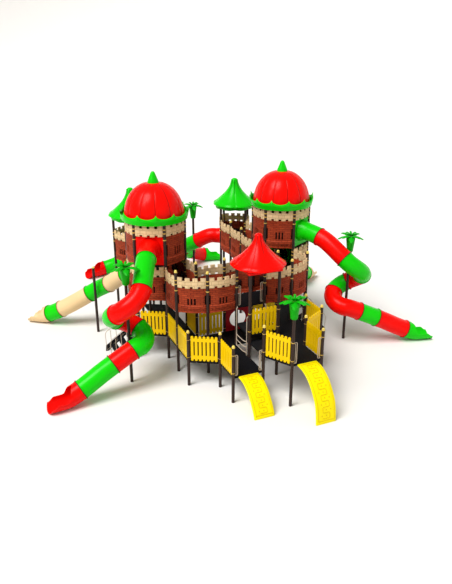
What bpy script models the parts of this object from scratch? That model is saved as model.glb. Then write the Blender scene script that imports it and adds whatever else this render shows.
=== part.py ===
"""A castle play structure: decks on round posts, moulded wall panels, roofs and tube slides.

The plan is drawn on a grid whose module is the distance between two post centres. Every post
is one module away from its neighbours, so each deck is a square, a triangle, a hexagon or a
strip of these. The two domed towers, their bridges and their slides mirror each other across
a line that runs 120 degrees from +X. Units are metres and +Z is up.
"""

import math

import bmesh
import bpy
from mathutils import Matrix, Vector

# The grid
MODULE = 1.16
CENTRE = (0.1500, 4.2212)
MIRROR_POINT = (0.049, 2.915)
MIRROR_ANGLE = 120

# Posts, decks and the gap that touching solids keep
POST_RADIUS = 0.057
POST_SIDES = 8
DECK_THICK = 0.06
GAP = 0.0003
SLIP = 0.0005

# Deck tops
LOW = 1.0
ENTRY = 1.6
CENTRE_DECK = 1.87
WALKWAY = 2.54
TOP_DECK = 3.94

# Post tops
FRONT_POST_TOP = 2.22
ENTRY_POST_TOP = 2.78
PALM_POST_TOP = 3.34
WALKWAY_POST_TOP = 4.12
CONE_POST_TOP = 4.54
ROOF_POST_TOP = 4.36
TOWER_POST_TOP = 5.50

# Wall panels
BRICK_THICK = 0.04
CREAM_THICK = 0.04
BRICK_HEIGHT = 0.94
BATTLEMENT_HEIGHT = 0.395
TOWER_BRICK_HEIGHT = 1.12
MERLON = 0.09
BULGE = 0.11
SHOULDER = 2 / 7
WINDOW_ROWS = (0.30, 0.58)
WINDOW_COLUMNS = (0.36, 0.64)
MERLONS = 4
END_REACH = 0.07

# Slides
TUBE_RADIUS = 0.36
TUBE_WALL = 0.015
TUBE_SIDES = 8
TUBE_SPACING = 0.48
EXIT_LENGTH = 0.9
PANEL_THICK = 0.03
SPIRAL_RADIUS = 0.56
SPIRAL_ENTRY = 4.54
SPIRAL_TOP = 3.8
SPIRAL_FOOT = 1.62

FENCE_HEIGHT = 1.02
LADDER_TOP = 2.57
LADDER_RUNGS = (1.12, 1.34, 1.56)
PALM_LEAVES = 8
CUP_HEIGHT = 0.56

# Roofs
CROWN_LEAVES = 12
DOME_RIBS = 10

COLLECTION = "play_structure"


def heading(angle):
    """The unit vector on the plan at this many degrees from +X."""
    turn = math.radians(angle)
    return Vector((math.cos(turn), math.sin(turn)))


def step(start, angle, modules=1.0):
    return start + heading(angle) * modules


def mirrored(point):
    """The point across the mirror line, on the grid."""
    across = heading(MIRROR_ANGLE - 90)
    offset = (point - Vector(MIRROR_POINT)).dot(across)
    return point - across * (2 * offset)


def world(point, z=0.0):
    flat = (point - Vector(CENTRE)) * MODULE
    return Vector((flat.x, flat.y, z))


def ring(centre, sides, radius=1.0, first=0):
    return [step(centre, first + 360 / sides * i, radius) for i in range(sides)]


def grid_points():
    """Every post centre by name, on the grid."""
    at = {"walk2": Vector((0, 0))}
    at["walk1"] = step(at["walk2"], 180)
    at["walk3"] = step(at["walk2"], 30)
    at["inner1"] = step(at["walk2"], 120)
    at["inner2"] = step(at["inner1"], 30)
    at["inner3"] = step(at["inner2"], 30)
    at["inner4"] = step(at["inner3"], 30)
    at["front1"] = step(at["walk1"], 300)
    at["front2"] = step(at["walk2"], 300)
    at["front3"] = step(at["front2"], 300)
    at["front4"] = step(at["front3"], 30)
    at["centre1"] = step(at["front2"], 30)
    at["centre2"] = step(at["centre1"], 30)
    at["walk4"] = step(at["centre2"], 120)
    at["walk5"] = step(at["walk4"], 30)
    at["walk6"] = step(at["walk5"], 60)
    at["entry1"] = step(at["front4"], -30)
    at["entry2"] = step(at["entry1"], 30)
    at["entry3"] = step(at["entry2"], 120)
    at["entry4"] = step(at["entry3"], 60)
    at["entry5"] = step(at["entry4"], 120)
    left_tower = step(step(at["walk1"], 120), 120)
    for i, point in enumerate(ring(left_tower, 6)):
        at[f"left{i}"] = point
    at["left_bridge1"] = step(at["left1"], 120)
    at["left_bridge2"] = step(at["left_bridge1"], 120)
    at["left_bridge3"] = step(at["left_bridge2"], 120)
    at["left_bridge4"] = step(at["left2"], 120)
    at["left_bridge5"] = step(at["left_bridge4"], 120)
    at["left_bridge6"] = step(at["left_bridge5"], 150)
    at["left_bridge7"] = step(at["left_bridge3"], 150)
    for name in [name for name in at if name.startswith("left")]:
        at[name.replace("left", "right")] = mirrored(at[name])
    return at


AT = grid_points()
LEFT_PALM = Vector((-2.367, -0.865))
RIGHT_PALM = Vector((4.563, 3.119))
BACK_PALM = Vector((-1.80, 8.15))
SIDE_POLE = Vector((-4.553, 2.62))
LEFT_TOWER = sum((AT[f"left{i}"] for i in range(6)), Vector((0, 0))) / 6
RIGHT_TOWER = mirrored(LEFT_TOWER)


def start_clean():
    for obj in list(bpy.data.objects):
        bpy.data.objects.remove(obj)
    for name in (COLLECTION, "cutters"):
        bpy.context.scene.collection.children.link(bpy.data.collections.new(name))


def material(name, colour, roughness=0.4, metallic=0.0):
    """The Principled material of this name, made on its first use."""
    found = bpy.data.materials.get(name)
    if found:
        return found
    made = bpy.data.materials.new(name)
    made.use_nodes = True
    shader = made.node_tree.nodes["Principled BSDF"]
    shader.inputs["Base Color"].default_value = (*colour, 1)
    shader.inputs["Roughness"].default_value = roughness
    shader.inputs["Metallic"].default_value = metallic
    return made


def finish(obj, paint, smooth=False):
    """Puts the object in the model's collection with its material."""
    obj.data.materials.clear()
    obj.data.materials.append(paint)
    if smooth:
        obj.data.shade_smooth()
        obj.data.set_sharp_from_angle(angle=math.radians(35))
    return obj


def add(name, mesh, collection=COLLECTION):
    obj = bpy.data.objects.new(name, mesh)
    bpy.data.collections[collection].objects.link(obj)
    if collection == "cutters":
        obj.hide_render = True
        obj.display_type = "WIRE"
    return obj


def mesh_of(bm, name):
    mesh = bpy.data.meshes.new(name)
    bm.to_mesh(mesh)
    bm.free()
    return mesh


def boolean(obj, other, operation):
    modifier = obj.modifiers.new(operation.lower(), "BOOLEAN")
    modifier.operation = operation
    modifier.object = other
    modifier.solver = "EXACT"
    return obj


def mesh_from_curve(curve, name, collection=COLLECTION):
    """A mesh object in place of this curve object, with its caps welded."""
    bpy.context.view_layer.update()
    graph = bpy.context.evaluated_depsgraph_get()
    mesh = bpy.data.meshes.new_from_object(curve.evaluated_get(graph))
    bm = bmesh.new()
    bm.from_mesh(mesh)
    bmesh.ops.remove_doubles(bm, verts=bm.verts, dist=0.00005)
    bm.to_mesh(mesh)
    bm.free()
    obj = add(name, mesh, collection)
    obj.matrix_world = curve.matrix_world
    bpy.data.objects.remove(curve)
    return obj


def flat_outline(name, loops, thick, collection=COLLECTION):
    """A plate of this thickness, centred on z 0, from closed outlines, the later ones holes."""
    data = bpy.data.curves.new(name, "CURVE")
    data.dimensions = "2D"
    data.fill_mode = "BOTH"
    data.extrude = thick / 2
    for loop in loops:
        spline = data.splines.new("POLY")
        spline.points.add(len(loop) - 1)
        for point, (x, y) in zip(spline.points, loop):
            point.co = (x, y, 0, 1)
        spline.use_cyclic_u = True
    curve = add(name + "_outline", data, collection)
    return mesh_from_curve(curve, name, collection)


def tube_curve(name, points, radius, collection=COLLECTION, cyclic=False, resolution=1):
    """A bent round bar through these points."""
    data = bpy.data.curves.new(name, "CURVE")
    data.dimensions = "3D"
    data.bevel_depth = radius
    data.bevel_resolution = resolution
    data.use_fill_caps = True
    spline = data.splines.new("POLY")
    spline.points.add(len(points) - 1)
    for point, place in zip(spline.points, points):
        point.co = (*place, 1)
    spline.use_cyclic_u = cyclic
    curve = add(name + "_path", data, collection)
    return mesh_from_curve(curve, name, collection)


def stand(obj, place, along, up=Vector((0, 0, 1))):
    """Turns a plate that lies flat so that its X runs along a direction and its Y runs up."""
    x = Vector((along.x, along.y, along.z if len(along) > 2 else 0)).normalized()
    y = up
    z = x.cross(y).normalized()
    turn = Matrix((x, y, z)).transposed().to_4x4()
    obj.data.transform(Matrix.Translation(place) @ turn)
    obj.matrix_world = Matrix.Identity(4)
    return obj


def posts_mesh(bm, names, top, foot=0.0, radius=POST_RADIUS):
    """Adds round posts of one height to the mesh."""
    for name in names:
        centre = world(AT[name], (top + foot) / 2)
        made = bmesh.ops.create_cone(
            bm,
            cap_ends=True,
            segments=POST_SIDES,
            radius1=radius,
            radius2=radius,
            depth=top - foot,
        )
        bmesh.ops.translate(bm, vec=centre, verts=made["verts"])


def plate(name, outline, top, collection="cutters", shrink=0.0):
    """A deck of the standard thickness with this outline of post names."""
    middle = sum((AT[point] for point in outline), Vector((0, 0))) / len(outline)
    corners = [AT[point] + (middle - AT[point]) * shrink for point in outline]
    loop = [tuple(world(corner).xy) for corner in corners]
    obj = flat_outline(name, [loop], DECK_THICK, collection)
    obj.data.transform(Matrix.Translation((0, 0, top - DECK_THICK / 2)))
    return obj


def frame(name, decks, posts, foreign, shrink=0.0):
    """Decks joined with the posts that carry them, notched round the posts of others."""
    first, *rest = [
        plate(f"{name}_deck{i}", outline, top, "cutters", shrink)
        for i, (outline, top) in enumerate(decks)
    ]
    obj = add(name, first.data)
    bpy.data.objects.remove(first)
    for deck in rest:
        boolean(obj, deck, "UNION")
    if foreign:
        bm = bmesh.new()
        posts_mesh(bm, foreign, 6.0, -0.5, POST_RADIUS + GAP)
        boolean(obj, add(name + "_notches", mesh_of(bm, name), "cutters"), "DIFFERENCE")
    if posts:
        bm = bmesh.new()
        for names, top, foot in posts:
            posts_mesh(bm, names, top, foot)
        boolean(obj, add(name + "_posts", mesh_of(bm, name), "cutters"), "UNION")
    return finish(obj, material("post", (0.045, 0.025, 0.022), 0.45, 0.3), smooth=True)


def decks_and_posts():
    low = "left4 left5 walk1 front1 front2 front3 front4 centre1 walk3 walk4 walk5 walk6 right5"
    low += " right0 inner4 inner3 inner2 inner1 left0 left1 left_bridge1 left_bridge4 left2 left3"
    low_outline = low.split()
    own = ["front1", "front2", "front3", "front4"]
    frame(
        "front_deck_frame",
        [(low_outline, LOW)],
        [(own[:3], FRONT_POST_TOP, 0), (own[3:], ENTRY_POST_TOP, 0)],
        [post for post in low_outline if post not in own] + ["walk2"],
    )
    entry = "front4 entry1 entry2 entry3 entry4 entry5 walk5 walk4 centre2 centre1".split()
    frame(
        "entry_deck_frame",
        [(entry, ENTRY)],
        [
            (["entry2", "entry4", "entry5"], ENTRY_POST_TOP, 0),
            (["entry3"], ENTRY_POST_TOP, ENTRY - DECK_THICK / 2),
            (["entry1"], PALM_POST_TOP, 0),
        ],
        ["front4", "walk5", "walk4", "centre2", "centre1"],
    )
    frame(
        "centre_deck_frame",
        [(["centre1", "centre2", "walk4", "walk3"], CENTRE_DECK)],
        [(["centre1", "centre2", "walk4", "walk3"], ROOF_POST_TOP, 0)],
        [],
    )
    walkway = "left5 walk1 walk2 walk3 walk4 walk5 walk6 right5 right0 inner4 inner3 inner2"
    frame(
        "walkway_frame",
        [((walkway + " inner1 left0").split(), WALKWAY)],
        [
            (["walk1", "walk2", "walk5", "walk6"], WALKWAY_POST_TOP, 0),
            (["inner1", "inner2", "inner3", "inner4"], WALKWAY_POST_TOP, 0),
        ],
        ["left5", "left0", "walk3", "walk4", "right0", "right5"],
    )
    for side in ("left", "right"):
        corners = [f"{side}{i}" for i in range(6)]
        lower = [] if side == "left" else [(corners, LOW)]
        frame(
            f"{side}_tower_frame",
            [(corners, WALKWAY), (corners, TOP_DECK), *lower],
            [(corners, TOWER_POST_TOP, 0)],
            [],
            shrink=SLIP,
        )
        bridge = [f"{side}_bridge{i}" for i in range(1, 8)]
        frame(
            f"{side}_bridge_frame",
            [([f"{side}1", *bridge[:3], bridge[6], bridge[5], bridge[4], bridge[3], f"{side}2"], WALKWAY)],
            [
                ([bridge[0], bridge[1], bridge[3]], WALKWAY_POST_TOP, 0),
                ([bridge[2], bridge[4], bridge[5], bridge[6]], CONE_POST_TOP, 0),
            ],
            [f"{side}1", f"{side}2"],
        )


def post_reach(along, half):
    """How far a post stands out in this direction, over a band this wide to each side."""
    across = Vector((-along.y, along.x))
    turns = [2 * math.pi * i / POST_SIDES for i in range(POST_SIDES + 1)]
    corners = [Vector((math.cos(turn), math.sin(turn))) * POST_RADIUS for turn in turns]
    reach = 0.0
    for a, b in zip(corners, corners[1:]):
        for k in range(41):
            point = a.lerp(b, k / 40)
            if abs(point.dot(across)) <= half + 0.0001:
                reach = max(reach, point.dot(along.xy))
    return reach


def around_post(post, before, after, side, thick):
    """Plan points that carry a wall round the back of a post, from one panel to the next."""
    start = math.atan2(-before.y, -before.x)
    end = math.atan2(after.y, after.x)
    # side is +1 where the back of the wall is on the left of its run.
    sweep = (start - end) % (2 * math.pi) if side > 0 else -((end - start) % (2 * math.pi))
    parts = max(2, math.ceil(abs(sweep) / math.radians(75)))
    half = abs(sweep) / parts / 2
    reach = (POST_RADIUS + GAP + thick / 2) / math.cos(half) + 0.0001
    points = []
    for i in range(parts + 1):
        angle = start - sweep * i / parts
        points.append(post + Vector((math.cos(angle), math.sin(angle))) * reach)
    return points


def wall_path(names, back, thick, shares, closed):
    """The plan of a wall: for each column edge its place, and for each column its kind."""
    posts = [world(AT[name]).xy for name in names]
    if closed:
        posts.append(posts[0])
    panels = list(zip(posts, posts[1:]))
    places, kinds = [], []
    for i, (start, end) in enumerate(panels):
        along = (end - start).normalized()
        outward = Vector((along.y, -along.x)) * back
        before = panels[i - 1] if i or closed else None
        if before:
            arriving = (before[1] - before[0]).normalized()
            bend = around_post(start, arriving, along, back, thick)
            places += bend[1:] if places else bend
            kinds += ["strap"] * (len(bend) - 1)
            first = places[-1]
        else:
            first = start + along * END_REACH
            places.append(first)
        after = panels[(i + 1) % len(panels)] if i + 1 < len(panels) or closed else None
        if after:
            leaving = (after[1] - after[0]).normalized()
            last = around_post(end, along, leaving, back, thick)[0]
        else:
            last = end - along * END_REACH
        for k, share in enumerate(shares[1:], start=1):
            swell = outward * BULGE * min(1, share / SHOULDER, (1 - share) / SHOULDER)
            places.append(first.lerp(last, share) + swell)
            kinds.append(k - 1)
    return places, kinds


def wall(name, names, base, rows, shares, keep, paint, thick, back=1, closed=False):
    """A run of curved panels between posts, joined behind each post that it passes."""
    places, kinds = wall_path(names, back, thick, shares, closed)
    columns = len(kinds)
    bm = bmesh.new()
    bmesh.ops.create_grid(bm, x_segments=columns, y_segments=len(rows) - 1, size=1)
    cells = {}
    for face in bm.faces:
        centre = face.calc_center_median()
        column = int((centre.x + 1) / 2 * columns)
        row = int((centre.y + 1) / 2 * (len(rows) - 1))
        cells[face] = (column, row)
    for vert in bm.verts:
        i = round((vert.co.x + 1) / 2 * columns)
        j = round((vert.co.y + 1) / 2 * (len(rows) - 1))
        vert.co = (*places[i], base + rows[j])
    gone = [face for face, (column, row) in cells.items() if not keep(kinds[column], row)]
    bmesh.ops.delete(bm, geom=gone, context="FACES")
    if closed:
        bmesh.ops.remove_doubles(bm, verts=bm.verts, dist=0.0005)
    bmesh.ops.dissolve_limit(
        bm, angle_limit=math.radians(0.5), verts=bm.verts, edges=bm.edges, use_dissolve_boundaries=False
    )
    obj = add(name, mesh_of(bm, name))
    solid = obj.modifiers.new("thickness", "SOLIDIFY")
    solid.thickness = thick
    solid.offset = 0
    solid.use_even_offset = True
    return finish(obj, paint, smooth=True)


def brick_wall(name, names, base, height, back=1, closed=False):
    low, high = WINDOW_ROWS
    rows = (GAP, height * low, height * high, height)
    left, right = WINDOW_COLUMNS
    shares = (0, SHOULDER, left, right, 1 - SHOULDER, 1)
    window = shares.index(left)

    def keep(kind, row):
        return not (kind == window and row == 1)

    paint = material("brick_red", (0.27, 0.045, 0.02), 0.55)
    return wall(name, names, base, rows, shares, keep, paint, BRICK_THICK, back, closed)


def battlement(name, names, base, height, back=1, closed=False, crenels=True):
    """A cream band whose top is cut into merlons."""
    rows = (GAP, height - MERLON, height)
    count = 2 * MERLONS - 1
    shares = tuple(i / count for i in range(count + 1))
    if not crenels:
        rows = (GAP, height)
        shares = (0, SHOULDER, 1 - SHOULDER, 1)

    def keep(kind, row):
        return row == 0 or (kind != "strap" and kind % 2 == 0)

    paint = material("cream", (0.75, 0.52, 0.25), 0.5)
    return wall(name, names, base, rows, shares, keep, paint, CREAM_THICK, back, closed)


def walls():
    low_top = WALKWAY + BRICK_HEIGHT
    left_front = ["left3", "left4", "left5", "walk1", "walk2", "walk3"]
    right_front = ["walk4", "walk5", "walk6", "right5", "right4", "right3"]
    left_back = ["left_bridge7", "left_bridge6", "left_bridge5", "left_bridge4", "left2"]
    right_back = ["right2", "right_bridge4", "right_bridge5", "right_bridge6", "right_bridge7"]
    court = ["left_bridge3", "left_bridge2", "left_bridge1", "left1", "left0", "inner1", "inner2"]
    court += ["inner3", "inner4", "right0", "right1", "right_bridge1", "right_bridge2"]
    court += ["right_bridge3"]
    brick_wall("left_front_brick_wall", left_front, WALKWAY, BRICK_HEIGHT)
    brick_wall("right_front_brick_wall", right_front, WALKWAY, BRICK_HEIGHT)
    brick_wall("left_back_brick_wall", left_back, WALKWAY, BRICK_HEIGHT)
    brick_wall("right_back_brick_wall", right_back, WALKWAY, BRICK_HEIGHT)
    brick_wall("courtyard_brick_wall", court, WALKWAY, BRICK_HEIGHT, back=-1)
    left_cream = ["left_bridge3", *left_back, *left_front]
    right_cream = [*right_front, *right_back, "right_bridge3"]
    battlement("left_battlement", left_cream, low_top, BATTLEMENT_HEIGHT)
    battlement("right_battlement", right_cream, low_top, BATTLEMENT_HEIGHT)
    battlement("courtyard_battlement", court, low_top, BATTLEMENT_HEIGHT, back=-1)
    top = TOP_DECK + TOWER_BRICK_HEIGHT
    rim = TOWER_POST_TOP - top - 0.005
    for side, order in (("left", (5, 0, 1, 2, 3, 4)), ("right", (4, 3, 2, 1, 0, 5))):
        corners = [f"{side}{i}" for i in order]
        brick_wall(f"{side}_tower_brick_wall", corners, TOP_DECK, TOWER_BRICK_HEIGHT, 1)
        battlement(f"{side}_tower_battlement", corners, top, rim, 1, closed=True, crenels=False)


def bent_grid(columns, rows, place, keep=None, weld=0.0):
    """A sheet of cells whose corner (i, j) sits at place(i, j), without the cells not kept."""
    bm = bmesh.new()
    bmesh.ops.create_grid(bm, x_segments=columns, y_segments=rows, size=1)
    gone = []
    for face in bm.faces:
        centre = face.calc_center_median()
        column = int((centre.x + 1) / 2 * columns)
        row = int((centre.y + 1) / 2 * rows)
        if keep and not keep(column, row):
            gone.append(face)
    for vert in bm.verts:
        i = round((vert.co.x + 1) / 2 * columns)
        j = round((vert.co.y + 1) / 2 * rows)
        vert.co = place(i, j)
    bmesh.ops.delete(bm, geom=gone, context="FACES")
    if weld:
        bmesh.ops.remove_doubles(bm, verts=bm.verts, dist=weld)
    bmesh.ops.recalc_face_normals(bm, faces=bm.faces)
    return bm


def sheet(name, bm, thick, paint, offset=0.0, smooth=True, collection=COLLECTION):
    """An object from the sheet, given this thickness."""
    obj = add(name, mesh_of(bm, name), collection)
    solid = obj.modifiers.new("thickness", "SOLIDIFY")
    solid.thickness = thick
    solid.offset = offset
    solid.use_even_offset = True
    return finish(obj, paint, smooth)


def turned(bm, centre, profile, sides):
    """Adds a round solid about a vertical line. The profile starts and ends on that line."""
    made = bent_grid(
        sides,
        len(profile) - 1,
        lambda i, j: (
            centre.x + profile[j][0] * math.cos(2 * math.pi * i / sides),
            centre.y + profile[j][0] * math.sin(2 * math.pi * i / sides),
            centre.z + profile[j][1],
        ),
        weld=0.0005,
    )
    mesh = mesh_of(made, "turned")
    bm.from_mesh(mesh)
    bpy.data.meshes.remove(mesh)


def round_shell(name, centre, profile, sides, paint, thick, swell):
    """A hollow roof about a vertical line. swell(angle, share) scales the radius."""
    last = len(profile) - 1

    def place(i, j):
        angle = 2 * math.pi * i / sides
        radius, height = profile[j]
        radius *= swell(i, j / last)
        return (
            centre.x + radius * math.cos(angle),
            centre.y + radius * math.sin(angle),
            centre.z + height,
        )

    bm = bent_grid(sides, last, place, weld=0.0005)
    return sheet(name, bm, thick, paint)


def crown(name, centre):
    """A ring that lies on the tower's rim, with a row of leaves that stand round the dome."""
    columns = 2 * CROWN_LEAVES
    profile = ((1.02, 0.0112), (1.22, 0.0112), (1.28, 0.12), (1.30, 0.21))

    def place(i, j):
        angle = 2 * math.pi * i / columns
        radius, height = profile[j]
        if j == 3 and i % 2 == 0:
            height += 0.19
            radius += 0.05
        return (
            centre.x + radius * math.cos(angle),
            centre.y + radius * math.sin(angle),
            centre.z + height,
        )

    bm = bent_grid(columns, 3, place, weld=0.0005)
    return sheet(name, bm, 0.022, material("green", (0.02, 0.62, 0.01), 0.35))


def domed_roof(side, centre):
    base = world(centre, TOWER_POST_TOP + GAP)
    crown(f"{side}_crown", base)
    sides = 2 * DOME_RIBS
    profile = ((0.98, 0.033), (1.15, 0.033), (1.14, 0.30), (1.04, 0.64), (0.81, 0.98), (0.47, 1.23))
    profile += ((0.06, 1.33),)
    dome = round_shell(
        f"{side}_dome",
        base,
        profile,
        sides,
        material("red", (0.80, 0.012, 0.005), 0.35),
        0.02,
        lambda i, share: 1 if i % 2 == 0 or share == 0 else 1.035,
    )
    bm = bmesh.new()
    finial = ((0, 1.31), (0.20, 1.31), (0.21, 1.38), (0.13, 1.62), (0.06, 1.76), (0, 1.79))
    turned(bm, base, finial, 8)
    boolean(dome, add(f"{side}_finial", mesh_of(bm, "finial"), "cutters"), "UNION")


def pointed_roof(name, corners, post_top, height, paint):
    """A four-sided flared cone that lies on four posts."""
    middle = sum((AT[corner] for corner in corners), Vector((0, 0))) / 4
    base = world(middle, post_top + GAP)
    profile = ((0.66, 0.0102), (1.0, 0.0102), (0.98, 0.06), (0.55, 0.36), (0.27, 0.74), (0.10, height))
    sides = 16
    shell = round_shell(
        name,
        base,
        profile,
        sides,
        paint,
        0.02,
        lambda i, share: 1 if i % 4 == 0 or share in (0, 1) else 0.95,
    )
    bm = bmesh.new()
    turned(bm, base, ((0, height - 0.03), (0.12, height - 0.03), (0.08, height + 0.09), (0, height + 0.12)), 8)
    boolean(shell, add(f"{name}_tip", mesh_of(bm, "tip"), "cutters"), "UNION")


def roofs():
    domed_roof("left", LEFT_TOWER)
    domed_roof("right", RIGHT_TOWER)
    red = material("red", (0.80, 0.012, 0.005), 0.35)
    green = material("green", (0.02, 0.62, 0.01), 0.35)
    pointed_roof("centre_roof", ["centre1", "centre2", "walk4", "walk3"], ROOF_POST_TOP, 1.05, red)
    for side in ("left", "right"):
        corners = [f"{side}_bridge{i}" for i in (3, 5, 6, 7)]
        pointed_roof(f"{side}_cone_roof", corners, CONE_POST_TOP, 1.1, green)


def spline_through(knots, spacing):
    """Evenly spaced points on a smooth line through these knots."""
    ends = [knots[0] * 2 - knots[1], *knots, knots[-1] * 2 - knots[-2]]
    fine = []
    for a, b, c, d in zip(ends, ends[1:], ends[2:], ends[3:]):
        for k in range(12):
            t = k / 12
            curve = b * 2 + (c - a) * t + (a * 2 - b * 5 + c * 4 - d) * t**2
            fine.append((curve + (b * 3 - a - c * 3 + d) * t**3) / 2)
    fine.append(knots[-1])
    lengths = [0.0]
    for a, b in zip(fine, fine[1:]):
        lengths.append(lengths[-1] + (b - a).length)
    count = max(2, round(lengths[-1] / spacing))
    points = []
    for k in range(count + 1):
        goal = lengths[-1] * k / count
        i = next(i for i in range(1, len(fine)) if lengths[i] >= goal - 1e-9)
        share = (goal - lengths[i - 1]) / (lengths[i] - lengths[i - 1])
        points.append(fine[i - 1].lerp(fine[i], share))
    return points


def slide(name, knots, deck, posts, paint):
    """A tube with its entry panel between two posts. Its last part is open above."""
    points = spline_through(knots, TUBE_SPACING)
    mid_radius = TUBE_RADIUS - TUBE_WALL / 2
    foot_height = mid_radius + TUBE_WALL / 2 / math.cos(math.pi / TUBE_SIDES)
    for point in points:
        point.z = max(point.z, foot_height)
    rings = len(points) - 1
    open_rings = max(1, round(EXIT_LENGTH / TUBE_SPACING))

    def place(i, j):
        along = points[min(j + 1, rings)] - points[max(j - 1, 0)]
        if j == 0:
            along = Vector((*entry_direction(posts, knots), 0))
        if points[j].z < TUBE_RADIUS + 0.02:
            along.z = 0
        side = along.cross(Vector((0, 0, 1))).normalized()
        up = side.cross(along).normalized()
        angle = 2 * math.pi * i / TUBE_SIDES + math.pi / 2
        return points[j] + (side * math.cos(angle) + up * math.sin(angle)) * mid_radius

    def keep(column, row):
        # Column 0 starts at the top of the tube.
        from_top = min(column, TUBE_SIDES - 1 - column)
        return row < rings - open_rings or from_top >= TUBE_SIDES // 4

    bm = bent_grid(TUBE_SIDES, rings, place, keep, weld=0.0005)
    tube = sheet(name, bm, TUBE_WALL, paint)
    start, end = (world(AT[post]) for post in posts)
    width = (end - start).length / 2 - post_reach((end - start).normalized(), PANEL_THICK / 2) - GAP
    low = deck + GAP
    high = deck + (TOWER_BRICK_HEIGHT if deck == TOP_DECK else BRICK_HEIGHT) - GAP
    middle = points[0].z
    outline = [(-width, low - middle), (width, low - middle), (width, high - middle)]
    outline += [(-width, high - middle)]
    hole = [
        (mid_radius * math.sin(2 * math.pi * i / 24), mid_radius * math.cos(2 * math.pi * i / 24))
        for i in range(24)
    ]
    panel = flat_outline(f"{name}_panel", [outline, hole], PANEL_THICK, "cutters")
    stand(panel, Vector((*points[0].xy, middle)), (end - start).normalized())
    boolean(tube, panel, "UNION")
    return tube


def entry_direction(posts, knots):
    """The unit vector across the edge between two posts, towards the slide."""
    edge = (world(AT[posts[1]]) - world(AT[posts[0]])).xy.normalized()
    across = Vector((edge.y, -edge.x))
    away = (knots[1] - knots[0]).xy
    return across if across.dot(away) > 0 else -across


def placed(point, z):
    return world(Vector(point), z)


def spiral_knots(posts, centre, first, last, tip):
    """A slide from the top deck that winds round a pole and runs straight to its tip."""
    start = (AT[posts[0]] + AT[posts[1]]) / 2
    centre = Vector(centre)
    radius = SPIRAL_RADIUS / MODULE
    angle = math.radians(first)
    entry = centre + Vector((math.cos(angle), math.sin(angle))) * radius
    knots = [placed(start, SPIRAL_ENTRY)]
    out = (AT[posts[1]] - AT[posts[0]]).normalized()
    out = Vector((out.y, -out.x))
    out = out if out.dot(entry - start) > 0 else -out
    knots.append(placed(start + out * 0.22, SPIRAL_ENTRY))
    knots.append(placed(start.lerp(entry, 0.55) + out * 0.02, SPIRAL_ENTRY - 0.2))
    count = round(abs(last - first) / 30)
    for k in range(count + 1):
        share = k / count
        angle = math.radians(first + (last - first) * share)
        place = centre + Vector((math.cos(angle), math.sin(angle))) * radius
        drop = (SPIRAL_TOP - SPIRAL_FOOT) * (1 - share) ** 1.45
        knots.append(placed(place, SPIRAL_FOOT + drop))
    leave = centre + heading(last) * radius
    tip = Vector(tip)
    floor = TUBE_RADIUS
    knots.append(placed(leave.lerp(tip, 0.35), 1.06))
    knots.append(placed(leave.lerp(tip, 0.62), 0.58))
    knots.append(placed(leave.lerp(tip, 0.80), floor))
    knots.append(placed(tip, floor))
    return knots


def slides():
    red = material("red", (0.80, 0.012, 0.005), 0.35)
    green = material("green", (0.02, 0.62, 0.01), 0.35)
    cream = material("cream", (0.75, 0.52, 0.25), 0.5)
    edge = ("left4", "left5")
    knots = spiral_knots(edge, LEFT_PALM, 4, -417, (-4.37, -2.96))
    slide("left_spiral_slide", knots, TOP_DECK, edge, red)
    edge = ("right4", "right5")
    knots = spiral_knots(edge, RIGHT_PALM, 237, 648, (7.76, 3.54))
    slide("right_spiral_slide", knots, TOP_DECK, edge, green)
    side_knots = [(-3.4, 2.56, 2.75), (-4.0, 2.89, 2.2), (-4.65, 3.10, 1.75), (-5.4, 3.12, 1.2)]
    side_knots += [(-6.08, 3.09, 0.76), (-6.7, 3.2, 0.42), (-7.1, 3.26, 0.36), (-7.5, 3.32, 0.36)]
    back_knots = [(-1.0, 7.20, 2.88), (-1.65, 7.42, 2.45), (-2.2, 7.9, 2.0), (-2.45, 8.65, 1.6)]
    back_knots += [(-2.55, 9.5, 1.2), (-2.35, 10.3, 0.8), (-1.95, 10.95, 0.44), (-1.5, 11.2, 0.36)]
    back_knots += [(-0.95, 11.35, 0.36)]
    entry_z = WALKWAY + TUBE_RADIUS + 0.02
    runs = [
        ("left_side_slide", ("left2", "left3"), side_knots, False, cream),
        ("right_side_slide", ("right2", "right3"), side_knots, True, cream),
        ("right_back_slide", ("right_bridge3", "right_bridge7"), back_knots, False, red),
        ("left_back_slide", ("left_bridge3", "left_bridge7"), back_knots, True, green),
    ]
    for name, edge, knots, flip, paint in runs:
        start = (AT[edge[0]] + AT[edge[1]]) / 2
        out = (AT[edge[1]] - AT[edge[0]]).normalized()
        out = Vector((out.y, -out.x))
        plan = [Vector((x, y)) for x, y, z in knots]
        plan = [mirrored(point) for point in plan] if flip else plan
        out = out if out.dot(plan[0] - start) > 0 else -out
        path = [placed(start, entry_z), placed(start + out * 0.2, entry_z)]
        path += [placed(point, z) for point, (x, y, z) in zip(plan, knots)]
        slide(name, path, WALKWAY, edge, paint)


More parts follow.
